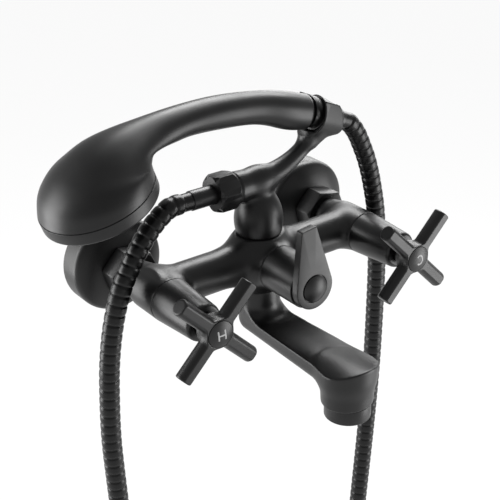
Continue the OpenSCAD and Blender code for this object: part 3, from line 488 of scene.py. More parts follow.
# Bonnets. Turned brass covers, coated, screwed down over the valves on the body's bosses.
# They taper a little to a rounded front, where the handle's neck goes in.
bonnet_front, bonnet_r, bonnet_round, bonnet_bore = 108.0, 11.6, 5.0, 7.1
cover_bore, cover_lip, bonnet_socket = 8.06, 3.0, 11.0
foot_wall, bonnet_wall = 1.6, 1.5
for side in SIDES:
    node = side + "_bonnet"
    middle = span(node)[2]
    outline = rounded([
        (boss_r - foot_wall, boss_face, 0.0),
        (boss_r, boss_face, 0.45),
        (bonnet_r, bonnet_front, bonnet_round),
        (bonnet_bore, bonnet_front, 0.3),
        (bonnet_bore, bonnet_front - cover_lip, 0.0),
        (cover_bore, bonnet_front - cover_lip, 0.0),
        (cover_bore, bonnet_front - bonnet_socket, 0.0),
        (bonnet_r - bonnet_wall, bonnet_front - bonnet_socket, 0.0),
    ], 10)
    coated(node, turned(outline, (middle[0], 0, middle[2]), OUT), node, sharp=45)


# Cross handles. Each is one zinc casting: a round hub with four straight round spokes,
# drilled from the front for its screw and turned out for the index cap.
spoke_d, spoke_r, spoke_reach, spoke_edge = 118.8, 5.0, 33.0, 1.0
hub_back, hub_front, handle_hub_r, hub_neck_r = 109.2, 123.2, 9.0, 6.8
hub_slope, hub_neck_l = 3.4, 7.0
cap_seat, cap_bore = 120.6, 8.06
spindle_end, spindle_bore, screw_end, screw_bore, head_bore = hub_back + 0.8, 4.06, hub_back + 4.8, 2.06, 3.7


def handle_field(p):
    u, d, v = p[0], -p[1], p[2]
    off = np.hypot(u, v)
    wide = np.interp(d, (hub_back, hub_back + hub_slope), (hub_neck_r, handle_hub_r))
    whole = both(off - wide, np.maximum(bonnet_front - hub_neck_l - d, d - hub_front), 0.6)
    for quarter in range(4):
        turn = math.radians(45 + 90 * quarter)
        tip = (spoke_reach * math.cos(turn), -spoke_d, spoke_reach * math.sin(turn))
        whole = merge(whole, rod(p, (0, -spoke_d, 0), tip, spoke_r, edge=spoke_edge), 2.2)
    whole = np.maximum(whole, d - hub_front)
    bore = np.where(d < spindle_end, spindle_bore, np.where(d < screw_end, screw_bore, head_bore))
    return np.maximum(np.maximum(whole, bore - off), -np.maximum(off - cap_bore, cap_seat - d))


low, high, middle = span("hot_handle")
shift = (middle[0], 0, 0)
handle_points, handle_faces = cast(handle_field, low - shift, high - shift, 0.6)
for side in SIDES:
    node = side + "_handle"
    points = handle_points + (span(node)[2][0], 0, 0)
    coated(node + "_cast", (points, handle_faces), node, node, sharp=0, outward=False)


# Index caps. Small domed plugs pressed into the handle hubs, in the same black, each with
# a plain letter in pale grey paint, H for hot and C for cold.
cap_dark = (0.0050, 0.0050, 0.0052)
cap_light = (0.0070, 0.0070, 0.0072)
cap_coat = finish("cap_black", cap_dark, cap_light, (0.36, 0.43), grain_mm=0.3, relief=0.08)
letter_paint = finish("letter_grey", (0.40, 0.40, 0.40), (0.50, 0.50, 0.50), (0.45, 0.60), grain_mm=0.2)

cap_r, cap_side, cap_rise, cap_edge = 8.0, 2.8, 1.5, 0.15
cap_top = cap_seat + cap_side + cap_rise


def sphere_height(off, radius, rise, top):
    """Height of a domed top of this radius and rise, at a distance from its axis."""
    sphere = arc_radius(radius, rise)
    return top - sphere + np.sqrt(sphere ** 2 - off ** 2)


def dome(radius, rise, top, steps):
    """Outline of a domed top, from its rim to its middle."""
    offs = radius * (1 - np.arange(steps) / steps)
    return list(zip(offs, sphere_height(offs, radius, rise, top))) + [(0, top)]


def stroke(line, width, lift, sink):
    """A painted stroke along a line on the dome, as a thin closed strip."""
    line = np.array(line, float)
    way = np.gradient(line, axis=0)
    way = way / np.linalg.norm(way, axis=1)[:, None]
    across = np.stack((-way[:, 1], way[:, 0]), 1) * width / 2
    points = []
    for edge, height in ((-1, lift), (1, lift), (1, -sink), (-1, -sink)):
        flat = line + edge * across
        out = sphere_height(np.hypot(flat[:, 0], flat[:, 1]), cap_r, cap_rise, cap_top) + height
        points.extend(zip(flat[:, 0], -out, flat[:, 1]))
    count = len(line)
    faces = [(0, count, 2 * count, 3 * count), (count - 1, 4 * count - 1, 3 * count - 1, 2 * count - 1)]
    for row in range(4):
        a, b = row * count, (row + 1) % 4 * count
        faces += [(a + k, a + k + 1, b + k + 1, b + k) for k in range(count - 1)]
    return points, faces


letter_h, letter_w, letter_line, letter_lean = 6.0, 4.5, 0.9, 0.10
paint_lift, paint_sink = 0.05, 0.08
upright = np.linspace(-letter_h / 2, letter_h / 2, 9)
level = np.linspace(-letter_w / 2 + letter_line / 2, letter_w / 2 - letter_line / 2, 7)
bow = np.radians(np.linspace(-128, 140, 28))
letter_lines = {
    "hot": [
        [(-letter_w / 2 - letter_lean * z, z) for z in upright],
        [(letter_w / 2 - letter_lean * z, z) for z in upright],
        [(x, 0) for x in level],
    ],
    "cold": [[(letter_w / 1.9 * math.cos(a), letter_h / 2 * math.sin(a)) for a in bow]],
}
for side in SIDES:
    node, handle = side + "_index_cap", side + "_handle"
    axis_x = span(node)[2][0]
    outline = [(0, cap_seat), (cap_r, cap_seat), (cap_r, cap_seat + cap_side - cap_edge)]
    form = turned(outline + dome(cap_r, cap_rise, cap_top, 14), (axis_x, 0, 0), OUT, 96)
    piece(node, form, cap_coat, handle, [node], sharp=50)
    points, faces = [], []
    for line in letter_lines[side]:
        new_points, new_faces = stroke(line, letter_line, paint_lift, paint_sink)
        faces += [tuple(i + len(points) for i in face) for face in new_faces]
        points += new_points
    points = np.array(points) + (axis_x, 0, 0)
    piece(side + "_letter", (points, faces), letter_paint, handle, [], sharp=50)


# Diverter sleeve. A plain turned tube, coated, that hides the diverter's cartridge.
# It is pushed onto the cartridge and stands on the body's barrel with a fine joint line.
low, high, _ = span("diverter_sleeve")
sleeve_r, sleeve_back, sleeve_front = (high[0] - low[0]) / 2, -high[1], -low[1]
sleeve_bore, sleeve_wall, sleeve_socket = 7.1, 1.8, 12.0
outline = rounded([
    (sleeve_r - sleeve_wall, sleeve_back, 0.0),
    (sleeve_r, sleeve_back, 0.35),
    (sleeve_r, sleeve_front, 0.25),
    (sleeve_bore, sleeve_front, 0.0),
    (sleeve_bore, sleeve_front - cover_lip, 0.0),
    (cover_bore, sleeve_front - cover_lip, 0.0),
    (cover_bore, sleeve_front - sleeve_socket, 0.0),
    (sleeve_r - sleeve_wall, sleeve_front - sleeve_socket, 0.0),
])
coated("diverter_sleeve_tube", turned(outline, (0, 0, 0), OUT), "diverter_sleeve")


# Diverter lever. A flat tapering zinc casting with a round foot, its edges just broken,
# and a round neck behind it that goes into the sleeve. A groove runs round its button.
lever_front = -span("diverter_lever")[0][1]
lever_back = sleeve_front + 0.3
lever_r, lever_tip, lever_tip_w, lever_corner = 13.5, 40.0, 11.0, 0.9
lever_lean = math.radians(7)
lever_edge, lever_back_edge = 0.55, 0.2
lever_neck_r, lever_neck_l, lever_hole_r = 6.8, 7.3, 4.0
groove_r, groove_depth, groove_flare, groove_edge = 9.0, 0.7, 0.2, 0.15
side_lean = math.asin((lever_r - lever_tip_w / 2) / lever_tip)


def lever_outline(x, z):
    """Distance in the plane to the lever's outline: a disc and its two tangents to the tip."""
    tip_half = lever_tip_w / 2
    contact = math.atan2(tip_half - lever_r * math.cos(side_lean), lever_tip - lever_r * math.sin(side_lean))
    normal = (math.cos(-contact), math.sin(-contact))
    flank = np.abs(x) * normal[0] + z * normal[1] - (tip_half * normal[0] + lever_tip * normal[1])
    straight = both(flank, z - lever_tip, lever_corner)
    disc = np.hypot(x, z) - lever_r
    return np.where(z > lever_r * math.sin(side_lean), straight, disc)


def lever_ring(inset, count=360):
    """Distance from the lever's axis to its outline, set in by an amount, on each of many rays."""
    fine = np.linspace(-1, 1, 61) * math.atan2(lever_tip_w / 2 + 1, lever_tip)
    coarse = np.linspace(fine[-1], 2 * math.pi + fine[0], count - 59)[1:-1]
    rays = np.concatenate((fine, coarse))
    near, far = np.zeros(len(rays)), np.full(len(rays), 2 * lever_tip)
    for _ in range(40):
        mid = (near + far) / 2
        out = lever_outline(mid * np.sin(rays), mid * np.cos(rays)) > -inset
        far = np.where(out, mid, far)
        near = np.where(out, near, mid)
    return rays, near


rows = []
for inset, height in ((lever_back_edge, lever_back), (0, lever_back + lever_back_edge)):
    rows.append((lever_ring(inset)[1], height))
for k in range(5):
    turn = math.radians(90 * k / 4)
    inset = lever_edge * (1 - math.cos(turn))
    rows.append((lever_ring(inset)[1], lever_front - lever_edge * (1 - math.sin(turn))))
rays = lever_ring(0)[0]
count = len(rays)
for radius, height in (
    (groove_r + groove_flare, lever_front),
    (groove_r, lever_front - groove_edge),
    (groove_r, lever_front - groove_depth),
    (lever_hole_r, lever_front - groove_depth),
    (lever_hole_r, lever_back - lever_neck_l),
    (lever_neck_r, lever_back - lever_neck_l),
    (lever_neck_r, lever_back),
):
    rows.append((np.full(count, radius), height))
points = []
for radius, height in rows:
    x, z = radius * np.sin(rays - lever_lean), radius * np.cos(rays - lever_lean)
    points.extend(np.stack((x, np.full(count, -height), z), 1))
form = points, skin(len(rows), count)
coated("diverter_lever_cast", form, "diverter_lever", "diverter_lever", sharp=35)

button_r, button_side, button_rise, button_sink, button_edge = 8.5, 1.4, 2.6, 1.0, 0.2
button_seat = lever_front - button_sink
button_top = button_seat + button_side + button_rise
outline = [(0, button_seat), (button_r - button_edge, button_seat)]
form = turned(outline + dome(button_r, button_rise, button_top, 18), (0, 0, 0), OUT, 96)
piece("lever_button_dome", form, cap_coat, "diverter_lever", ["lever_button"], sharp=50)


# Spout. A sand casting with a round neck that sweeps into a long arm; the top swells
# gently between crisp rims, and the round nose turns down to the aerator.
low, high, _ = span("spout")
spout_d, spout_neck_r, nose_r, nose_foot_r = 145.4, 13.3, 17.5, 16.1
spout_top, arm_low, nose_bottom = -37.7, -50.5, -61.5
arm_end_r = 16.9
neck_flare, neck_sink, flare_sink = 9.0, 6.0, 4.0
flat_start = body_d + spout_neck_r + neck_flare
crown_h, crown_end, nose_squash = 3.8, spout_d + 16, 1.13
heel_r = 18.0
aerator_bore, aerator_h, nose_bore, nose_bore_top = 12.1, 12.0, 8.0, -44.0
channel_r, channel_drop, riser_r, riser_drop, spout_nipple_l = 4.4, 7.6, 5.5, 8.0, 9.0


def spout_field(p):
    x, d, z = p[0], -p[1], p[2]
    off = np.hypot(x, d - body_d)
    neck = both(off - spout_neck_r, np.maximum(z - hub_bottom, spout_top - neck_sink - z), 0.5)
    share = np.clip((d - body_d) / (spout_d - body_d), 0, 1)
    swell = np.clip((d - flat_start) / (crown_end - flat_start), 0, 1)
    crown = crown_h * swell * swell * (3 - 2 * swell) * (1 - (x / nose_r) ** 2)
    top = z - spout_top - crown
    ahead = d - body_d - share * (spout_d - body_d)
    ahead = np.where(ahead > 0, ahead * nose_squash, ahead)
    side = np.hypot(x, ahead) - spout_neck_r - (arm_end_r - spout_neck_r) * share
    belly = both(np.maximum(side, top), arm_low - z, 9.0)
    flare = neck_flare - np.hypot(off - spout_neck_r - neck_flare, z - spout_top - neck_flare)
    flare = np.where((off < spout_neck_r + neck_flare) & (z < spout_top + neck_flare), flare, FAR)
    flare = both(side, np.maximum(flare, spout_top - flare_sink - z), 0.8)
    nose_slope = (nose_r - nose_foot_r) / (spout_top - nose_bottom)
    ahead = np.where(d > spout_d, (d - spout_d) * nose_squash, d - spout_d)
    nose = np.hypot(x, ahead) - nose_foot_r - nose_slope * (z - nose_bottom)
    whole = both(merge(belly, np.maximum(nose, top), 5.0), top, 0.9)
    whole = np.minimum(np.minimum(whole, flare), neck)
    heel = heel_r - np.hypot(body_d - spout_neck_r + heel_r - d, arm_low + heel_r - z)
    in_heel = (d < body_d - spout_neck_r + heel_r) & (z < arm_low + heel_r)
    whole = both(whole, np.where(in_heel, -heel, -FAR), 0.8)
    whole = both(whole, np.maximum(z - hub_bottom, nose_bottom - z), 0.7)
    aerator = np.hypot(x, d - spout_d) - np.where(z < nose_bottom + aerator_h, aerator_bore, nose_bore)
    aerator = np.maximum(aerator, z - nose_bore_top)
    channel = np.hypot(x, z - spout_top + channel_drop) - channel_r
    channel = np.maximum(channel, np.maximum(body_d - d, d - spout_d))
    riser = off - np.where(z > hub_bottom - spout_nipple_l, nipple_bore, riser_r)
    riser = np.maximum(riser, spout_top - riser_drop - z)
    for bore in (aerator, channel, riser):
        whole = np.maximum(whole, -bore)
    return whole


coated("spout_cast", cast(spout_field, low, high, 0.8), "spout", sharp=0, outward=False)


# Aerator ring. Turned brass, coated, screwed into the spout's nose.
# Its rounded lower edge stands a little below the nose and holds the insert.
low, high, _ = span("aerator_ring")
ring_r, ring_bore, ring_thread_r = (high[0] - low[0]) / 2, 10.4, 12.0
ring_low, ring_top = low[2], high[2]
outline = rounded([
    (ring_bore, ring_low, 0.3),
    (ring_r, ring_low, 1.0),
    (ring_r, nose_bottom, 0.3),
    (ring_thread_r, nose_bottom, 0.0),
    (ring_thread_r, ring_top, 0.0),
    (ring_bore, ring_top, 0.0),
])
coated("aerator_ring_turned", turned(outline, (0, -spout_d, 0), (0, 0, 1), 112), "aerator_ring")


# Cradle. A brass casting screwed onto the hub: a vase-shaped column, the outlet arm to the
# left, and a rising arm that spreads into an open cup for the hand shower's conical nut.
low, high, _ = span("cradle")
outlet_z, outlet_r, thread_r = 51.0, 9.9, 9.3
arm_end, thread_end = -18.0, low[0]
column_r, column_bulge, bulge_h = 14.0, 1.3, 8.5
column_arc = arc_radius(bulge_h, column_bulge)
ball_r, arm_reach, arm_rise, arm_bend = 8.7, 42.0, 0.0544, 0.00976
arm_r, arm_taper, waist_x, waist_soft = 5.0, 0.06, 29.0, 4.0
web_half = 4.2
web_corners = np.array(((36, 67), (44, 64), (60, 64), (60, 76), (46, 84), (36, 84)), float)
web_hollow_x, web_hollow_z, web_hollow_r = 66.3, 20.8, 51.0
tail_x, tail_z, tail_fall = 31.9, 89.8, math.radians(22.8)
tail_way = np.array((math.cos(tail_fall), 0, -math.sin(tail_fall)))
tail_up = np.array((math.sin(tail_fall), 0, math.cos(tail_fall)))
tail_start = np.array((tail_x, -body_d, tail_z))
nut_r, nut_small_r, nut_l, gap = 11.2, 7.0, 20.5, 0.3
cup_s, cup_top, cup_wall, rib_low = 11.0, 9.5, 1.6, 10.8
cup_end = cup_s + nut_l + 1
cup_keep, cup_narrow, cup_soft = 0.7, 0.3, 3.0
cradle_bore, cradle_nipple_l, hollow_start = 5.5, 12.0, 2.0
end_slope, end_foot = 8.5, 6.0
mouth_mid, mouth_lean, mouth_bow = 10.4, 0.257, 0.0184


def cup_bore(s):
    """Radius of the hollow cone in the cup, with room for the nut."""
    return nut_r + gap - (nut_r - nut_small_r) * (s - cup_s) / nut_l


def on_tail(p):
    """Place along the tail line, height over it, and sideways offset."""
    q = [p[i] - tail_start[i] for i in range(3)]
    return q[0] * tail_way[0] + q[2] * tail_way[2], q[0] * tail_up[0] + q[2] * tail_up[2], q[1]


def cradle_field(p):
    x, y, z = p[0], p[1] + body_d, p[2]
    s, n, across = on_tail(p)
    off = np.hypot(x, y)
    column = np.hypot(off - column_r - column_bulge + column_arc, z - hub_top - bulge_h) - column_arc
    shoulder = np.sqrt(x ** 2 + y ** 2 + (z - outlet_z) ** 2) - ball_r
    outlet = rod(p, (0, -body_d, outlet_z), (arm_end, -body_d, outlet_z), ball_r, outlet_r, edge=0.5)
    along = np.clip(x, 0, arm_reach)
    for step in range(3):
        slope = arm_rise + 2 * arm_bend * along
        drop = z - outlet_z - arm_rise * along - arm_bend * along ** 2
        along = np.clip(along + (x - along + drop * slope) / (1 + slope ** 2), 0, arm_reach)
    drop = z - outlet_z - arm_rise * along - arm_bend * along ** 2
    to_waist = waist_x - along
    arm = np.sqrt((x - along) ** 2 + drop ** 2 + y ** 2) - arm_r
    arm = arm - arm_taper * (to_waist + np.hypot(to_waist, waist_soft))
    web = np.full(np.shape(x), -np.inf)
    for start, stop in zip(web_corners, np.roll(web_corners, -1, 0)):
        way = (stop - start) / np.linalg.norm(stop - start)
        web = np.maximum(web, (x - start[0]) * way[1] - (z - start[1]) * way[0])
    web = np.maximum(web, web_hollow_r - np.hypot(x - web_hollow_x, z - web_hollow_z))
    web = both(web, np.abs(y) - web_half, 4.0)
    wall_s = np.maximum(s, cup_s)
    mouth = mouth_mid - mouth_lean * n - mouth_bow * n ** 2
    end_h = cup_top + end_foot
    slope = ((s - cup_end) * end_h + (n + end_foot) * end_slope) / math.hypot(end_h, end_slope)
    bow = cup_keep * n - cup_narrow * (np.hypot(n, cup_soft) - cup_soft)
    cup = np.hypot(bow, across) - cup_bore(wall_s) - cup_wall
    cup = both(cup, both(n - cup_top, slope, 5.0), 0.7)
    cup = np.maximum(cup, np.maximum(mouth - s, s - cup_end))
    whole = merge(column, merge(np.minimum(shoulder, outlet), arm, 6.0), 4.0)
    whole = merge(whole, merge(web, cup, 7.0), 6.0)
    whole = both(whole, hub_top - z, 0.8)
    whole = both(whole, np.minimum(mouth - s, n + rib_low), 0.6)
    whole = both(whole, np.maximum(s - cup_end, np.where(s > 0, n - cup_top, -FAR)), 0.7)
    hollow = np.hypot(np.minimum(n, 0), across) - cup_bore(wall_s)
    whole = carve(whole, np.where(s > hollow_start, hollow, FAR), 0.5)
    thread = rod(p, (0, -body_d, outlet_z), (thread_end, -body_d, outlet_z), thread_r, edge=0.4)
    whole = np.minimum(whole, thread)
    channel = np.maximum(np.hypot(y, z - outlet_z) - cradle_bore, x)
    riser = off - np.where(z < hub_top + cradle_nipple_l, nipple_bore, cradle_bore)
    riser = np.maximum(riser, z - outlet_z)
    return np.maximum(np.maximum(whole, -channel), -riser)


coated("cradle_cast", cast(cradle_field, low, high, 0.7), "cradle", sharp=0, outward=False)


# Hose fittings. A hexagon nut at the outlet and a conical nut at the hand shower, both
# turned brass in satin black, and two smooth crimped sleeves where the hose goes in.
fitting_dark, fitting_light = (0.0040, 0.0040, 0.0042), (0.0056, 0.0056, 0.0058)
fitting_coat = finish(
    "satin_black_fitting", fitting_dark, fitting_light, (0.28, 0.35), grain_mm=0.4, relief=0.05
)
ferrule_r, ferrule_lip, hose_bore, play, lip_play = 6.0, 2.0, 4.0, 0.06, 0.1


def fitting(name, form, body, node, sharp=40):
    """A hose fitting in its satin coat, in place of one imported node."""
    return piece(name, form, fitting_coat, body, [node], sharp)


def ferrule(lip_r, length, origin, along):
    """A crimped sleeve: a short lip that the nut holds, then a smooth tube round the hose."""
    outline = rounded([
        (hose_bore, 0.0, 0.0),
        (lip_r, 0.0, 0.0),
        (lip_r, ferrule_lip, 0.0),
        (ferrule_r, ferrule_lip, 0.0),
        (ferrule_r, length, 0.5),
        (hose_bore, length, 0.0),
    ])
    return turned(outline, origin, along, 64)


low, high, _ = span("outlet_hose_nut")
outlet_af, outlet_bevel, outlet_turn = 21.6, 2.6, math.radians(-8)
points, faces = hexagon(outlet_af, high[0] - low[0], outlet_bevel, ferrule_r + play, outlet_turn)
points = stand(points, (high[0], -body_d, outlet_z), (0, 0, 1), (0, -1, 0), (-1, 0, 0))
outlet_nut = fitting("outlet_hose_nut_hex", (points, faces), "mixer", "outlet_hose_nut", sharp=28)

low, high, _ = span("outlet_hose_ferrule")
form = ferrule(thread_r - lip_play, high[0] - low[0], (high[0], -body_d, outlet_z), (-1, 0, 0))
outlet_sleeve = fitting("outlet_hose_sleeve", form, "mixer", "outlet_hose_ferrule")

nut_set, lip_in, hose_out = 0.6, 13.0, 3.0
nut_s = cup_s + nut_set
insert_r, thread_in_r, thread_in, lip_seat = nut_small_r - gap, 9.36, 5.5, 15.0
outline = rounded([
    (thread_in_r, 0.0, 0.0),
    (nut_r, 0.0, 0.5),
    (nut_small_r, nut_l, 1.4),
    (ferrule_r + play, nut_l, 0.0),
    (ferrule_r + play, lip_seat, 0.0),
    (insert_r + play, lip_seat, 0.0),
    (insert_r + play, thread_in, 0.0),
    (thread_in_r, thread_in, 0.0),
])
form = turned(outline, tail_start + nut_s * tail_way, tail_way, 96)
cone_nut = fitting("handset_hose_nut_cone", form, "hand_shower", "handset_hose_nut")

sleeve_s, tail_hose_s = nut_s + lip_in, nut_s + nut_l + hose_out
form = ferrule(insert_r, tail_hose_s - sleeve_s, tail_start + sleeve_s * tail_way, tail_way)
handset_sleeve = fitting("handset_hose_sleeve", form, "hand_shower", "handset_hose_ferrule")


# Shower hose. A wound metal hose with rounded ribs over a rubber tube, gloss black, 1.2 m.
# It leaves the outlet level, hangs in one loop and rises into the conical nut.
hose_r, rib_depth, rib_count, rib_steps, rib_power = 6.2, 0.8, 198, 12.0, 5.0
hose_lead = 2 * hose_r
hose_start = np.array((-50.0, outlet_z))
hose_finish = np.array((tail_x, tail_z)) + tail_hose_s * tail_way[[0, 2]]
hose_route = [
    hose_start,
    hose_start - (hose_lead, 0),
    (-73, 45), (-83, 35), (-92, 22), (-100, 7), (-106, -12), (-110, -34), (-112, -58),
    (-113, -88), (-112, -120), (-110, -160), (-107, -212), (-103, -272), (-97, -338),
    (-85, -398), (-63, -444), (-32, -470), (2, -474), (35, -458), (60, -424),
    (76, -376), (84, -324), (89, -272), (93, -222), (97, -171), (100, -120),
    (101, -75), (101, -35), (98.6, 0), (94.2, 23), (89, 41), (83.5, 54), (77.5, 65.4),
    hose_finish + hose_r * tail_way[[0, 2]],
    hose_finish,
]


def hose_line(route, steps=10):
    """Even curve through the route's points, straight in its first and last stretch."""
    route = [np.array(p, float) for p in route]
    line = []
    for i in range(len(route) - 1):
        b, c = route[i], route[i + 1]
        for k in range(steps):
            t = k / steps
            if i in (0, len(route) - 2):
                line.append(b + (c - b) * t)
                continue
            a, d = route[i - 1], route[i + 2]
            bend = (2 * a - 5 * b + 4 * c - d) * t * t + (3 * b - a - 3 * c + d) * t ** 3
            line.append(0.5 * (2 * b + (c - a) * t + bend))
    line.append(route[-1])
    return np.array([(p[0], -body_d, p[1]) for p in line])


line = hose_line(hose_route)
hose_length = np.linalg.norm(np.diff(line, axis=0), axis=1).sum()

hose_dark, hose_light = (0.0022, 0.0022, 0.0024), (0.0034, 0.0034, 0.0036)
hose_black = finish(
    "gloss_black_hose", hose_dark, hose_light, (0.28, 0.36),
    grain_mm=0.4, relief=0.08, patch_mm=9.0, gloss=0.28,
)


def sums(tree, operation, *values):
    """A Math node whose inputs are numbers or other sockets."""
    return made(tree, "ShaderNodeMath", dict(enumerate(values)), operation=operation).outputs[0]


def shape_tree(name, inputs):
    """A node tree for shapes, the outputs of its input node, and the keys of its inputs."""
    tree = bpy.data.node_groups.new(name, "GeometryNodeTree")
    keys = {}
    for label, kind in inputs.items():
        socket = tree.interface.new_socket(name=label, in_out="INPUT", socket_type="NodeSocket" + kind)
        keys[label] = socket.identifier
    tree.interface.new_socket(name="Geometry", in_out="OUTPUT", socket_type="NodeSocketGeometry")
    return tree, tree.nodes.new("NodeGroupInput").outputs, keys


def hand_out(tree, shape, material):
    """Ends a tree: its shape made real, in one material."""
    real = made(tree, "GeometryNodeRealizeInstances", {"Geometry": shape}).outputs["Geometry"]
    painted = made(tree, "GeometryNodeSetMaterial", {"Geometry": real, "Material": material})
    made(tree, "NodeGroupOutput", {"Geometry": painted.outputs["Geometry"]})


def plain(host):
    """The mesh that an object's modifiers give. The object itself goes."""
    host.update_tag()
    graph = bpy.context.evaluated_depsgraph_get()
    graph.update()
    mesh = bpy.data.meshes.new_from_object(host.evaluated_get(graph))
    bpy.data.objects.remove(host)
    return mesh


def grown(host, tree, values):
    """The plain mesh that a node tree makes from an object."""
    modifier = host.modifiers.new(tree.name, "NODES")
    modifier.node_group = tree
    for key, value in values.items():
        modifier[key] = value
    return plain(host)


ribs, given, keys = shape_tree("ribbed_hose", {
    "Geometry": "Geometry", "Radius": "Float", "Rib Depth": "Float", "Rib Pitch": "Float",
    "Plain End": "Float", "Finish": "Material",
})
even = made(ribs, "GeometryNodeResampleCurve", {
    "Curve": made(ribs, "GeometryNodeMeshToCurve", {"Mesh": given["Geometry"]}).outputs["Curve"],
    "Length": sums(ribs, "DIVIDE", given["Rib Pitch"], rib_steps),
}, mode="LENGTH")
along = ribs.nodes.new("GeometryNodeSplineParameter").outputs["Length"]
total = ribs.nodes.new("GeometryNodeSplineLength").outputs["Length"]
past_end = sums(ribs, "SUBTRACT", along, given["Plain End"])
phase = sums(ribs, "FRACT", sums(ribs, "DIVIDE", past_end, given["Rib Pitch"]))
valley = sums(ribs, "ABSOLUTE", sums(ribs, "MULTIPLY_ADD", phase, 2.0, -1.0))
valley = sums(ribs, "POWER", valley, rib_power)
from_start = sums(ribs, "GREATER_THAN", along, given["Plain End"])
to_end = sums(ribs, "GREATER_THAN", sums(ribs, "SUBTRACT", total, along), given["Plain End"])
ribbed = sums(ribs, "MULTIPLY", from_start, to_end)
depth = sums(ribs, "DIVIDE", given["Rib Depth"], given["Radius"])
low_part = sums(ribs, "SUBTRACT", 1.0, sums(ribs, "MULTIPLY", ribbed, sums(ribs, "SUBTRACT", 1.0, valley)))
ring = made(ribs, "GeometryNodeCurvePrimitiveCircle", {"Resolution": 24, "Radius": given["Radius"]})
tube = made(ribs, "GeometryNodeCurveToMesh", {
    "Curve": even.outputs["Curve"],
    "Profile Curve": ring.outputs["Curve"],
    "Scale": sums(ribs, "SUBTRACT", 1.0, sums(ribs, "MULTIPLY", depth, low_part)),
    "Fill Caps": True,
})
hand_out(ribs, tube.outputs["Mesh"], given["Finish"])

host = placed("hose_line", mesh_of("hose_line", line, edges=[(i, i + 1) for i in range(len(line) - 1)]))
hose_mesh = grown(host, ribs, {
    keys["Radius"]: hose_r * MM,
    keys["Rib Depth"]: rib_depth * MM,
    keys["Rib Pitch"]: (hose_length - hose_lead) / rib_count * MM,
    keys["Plain End"]: hose_lead / 2 * MM,
    keys["Finish"]: hose_black,
})
hose_mesh.name = "shower_hose_ribbed"
hose_mesh.shade_smooth()
hose = placed("shower_hose_ribbed", hose_mesh)
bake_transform(hose)
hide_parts("shower_hose")


# Hand shower shell. Moulded plastic in one hollow piece, coated to match the metal: the
# back of the head runs into a bowed oval handle, whose leaning end sags a little.
shell_coat = finish("matt_black_shell", coat_dark, coat_light, (0.36, 0.44), grain_mm=0.3, relief=0.08)
weld_mm, flat_angle, square_angle, crease_angle, crease_hold = 0.02, 40, 80, 50, 0.9
shell_form = bmesh.new()
shell_form.from_mesh(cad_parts["handset_shell"].data)
bmesh.ops.remove_doubles(shell_form, verts=shell_form.verts, dist=weld_mm * MM)
bmesh.ops.join_triangles(
    shell_form, faces=shell_form.faces, cmp_seam=False, cmp_sharp=False, cmp_uvs=False,
    cmp_vcols=False, cmp_materials=False, angle_face_threshold=math.radians(flat_angle),
    angle_shape_threshold=math.radians(square_angle),
)
end_sag, end_reach, sag_start, sag_l, end_half = 1.1, 2.0, -22.0, 24.0, 10.0
for vert in shell_form.verts:
    s, n, _ = on_tail(np.array(vert.co) / MM)
    share = min(max((s - sag_start) / sag_l, 0), 1)
    share = share * share * (3 - 2 * share)
    vert.co -= Vector(tail_up) * float(end_sag * share * (1 - n / end_half)) * MM
    vert.co += Vector(tail_way) * float(end_reach * share * (1 + n / end_half) / 2) * MM
crease = shell_form.edges.layers.float.new("crease_edge")
for edge in shell_form.edges:
    if len(edge.link_faces) == 2 and edge.calc_face_angle() > math.radians(crease_angle):
        edge[crease] = crease_hold
shell_mesh = bpy.data.meshes.new("shell_form")
shell_form.to_mesh(shell_mesh)
shell_form.free()
shell_mesh.materials.clear()
shell_mesh.materials.append(shell_coat)
host = placed("shell_form", shell_mesh)
smoother = host.modifiers.new("smooth", "SUBSURF")
smoother.levels = smoother.render_levels = 2
settle("handset_shell_moulded", plain(host), "hand_shower", ["handset_shell"], sharp=40)


# Head ring. A moulded ring snapped into the head; it leaves a fine shadow line under the
# shell's rim, and its rounded lower edge frames the spray plate.
head_at = np.array((-111.0, -body_d, 71.7))
head_tilt = math.radians(19.4)
head_way = np.array((math.sin(head_tilt), 0, -math.cos(head_tilt)))
head_r, ring_h, ring_wall, ring_gap, ring_step = 34.3, 8.6, 6.0, 0.7, 0.5
plate_inset, plate_seat = 3.6, ring_h - 3.6
outline = rounded([
    (head_r - ring_wall, 0.0, 0.0),
    (head_r - ring_step, 0.0, 0.0),
    (head_r - ring_step, ring_gap, 0.0),
    (head_r, ring_gap, 0.25),
    (head_r, ring_h, 2.4),
    (head_r - plate_inset, ring_h, 0.3),
    (head_r - plate_inset, plate_seat, 0.0),
    (head_r - ring_wall, plate_seat, 0.0),
], 8)
form = turned(outline, head_at, head_way, 160)
piece("head_ring_moulded", form, shell_coat, "hand_shower", ["head_ring"])


# Spray nozzles. One soft silicone mat behind the plate, with small hollow teats that
# reach through its holes in four rings round a middle one.
nozzle_rubber = finish(
    "silicone_grey", (0.040, 0.041, 0.043), (0.055, 0.056, 0.058), (0.50, 0.62), grain_mm=0.25, relief=0.10
)
nozzle_base, nozzle_tip, nozzle_hole, nozzle_deep = ring_h - 2.4, ring_h + 0.5, 0.35, 1.2
nozzle_rings, ring_spacing, teat_tip_r, teat_foot_r = 4, 6.4, 0.8, 1.1
teat = rounded([
    (nozzle_hole, nozzle_tip - nozzle_deep, 0.0),
    (nozzle_hole, nozzle_tip, 0.12),
    (teat_tip_r, nozzle_tip, 0.25),
    (teat_foot_r, nozzle_base, 0.0),
], 3)
teat = [(0, nozzle_tip - nozzle_deep)] + teat + [(0, nozzle_base)]
teat_object = placed("nozzle_teat", mesh_of("nozzle_teat", *turned(teat, (0, 0, 0), (0, 0, 1), 12)))

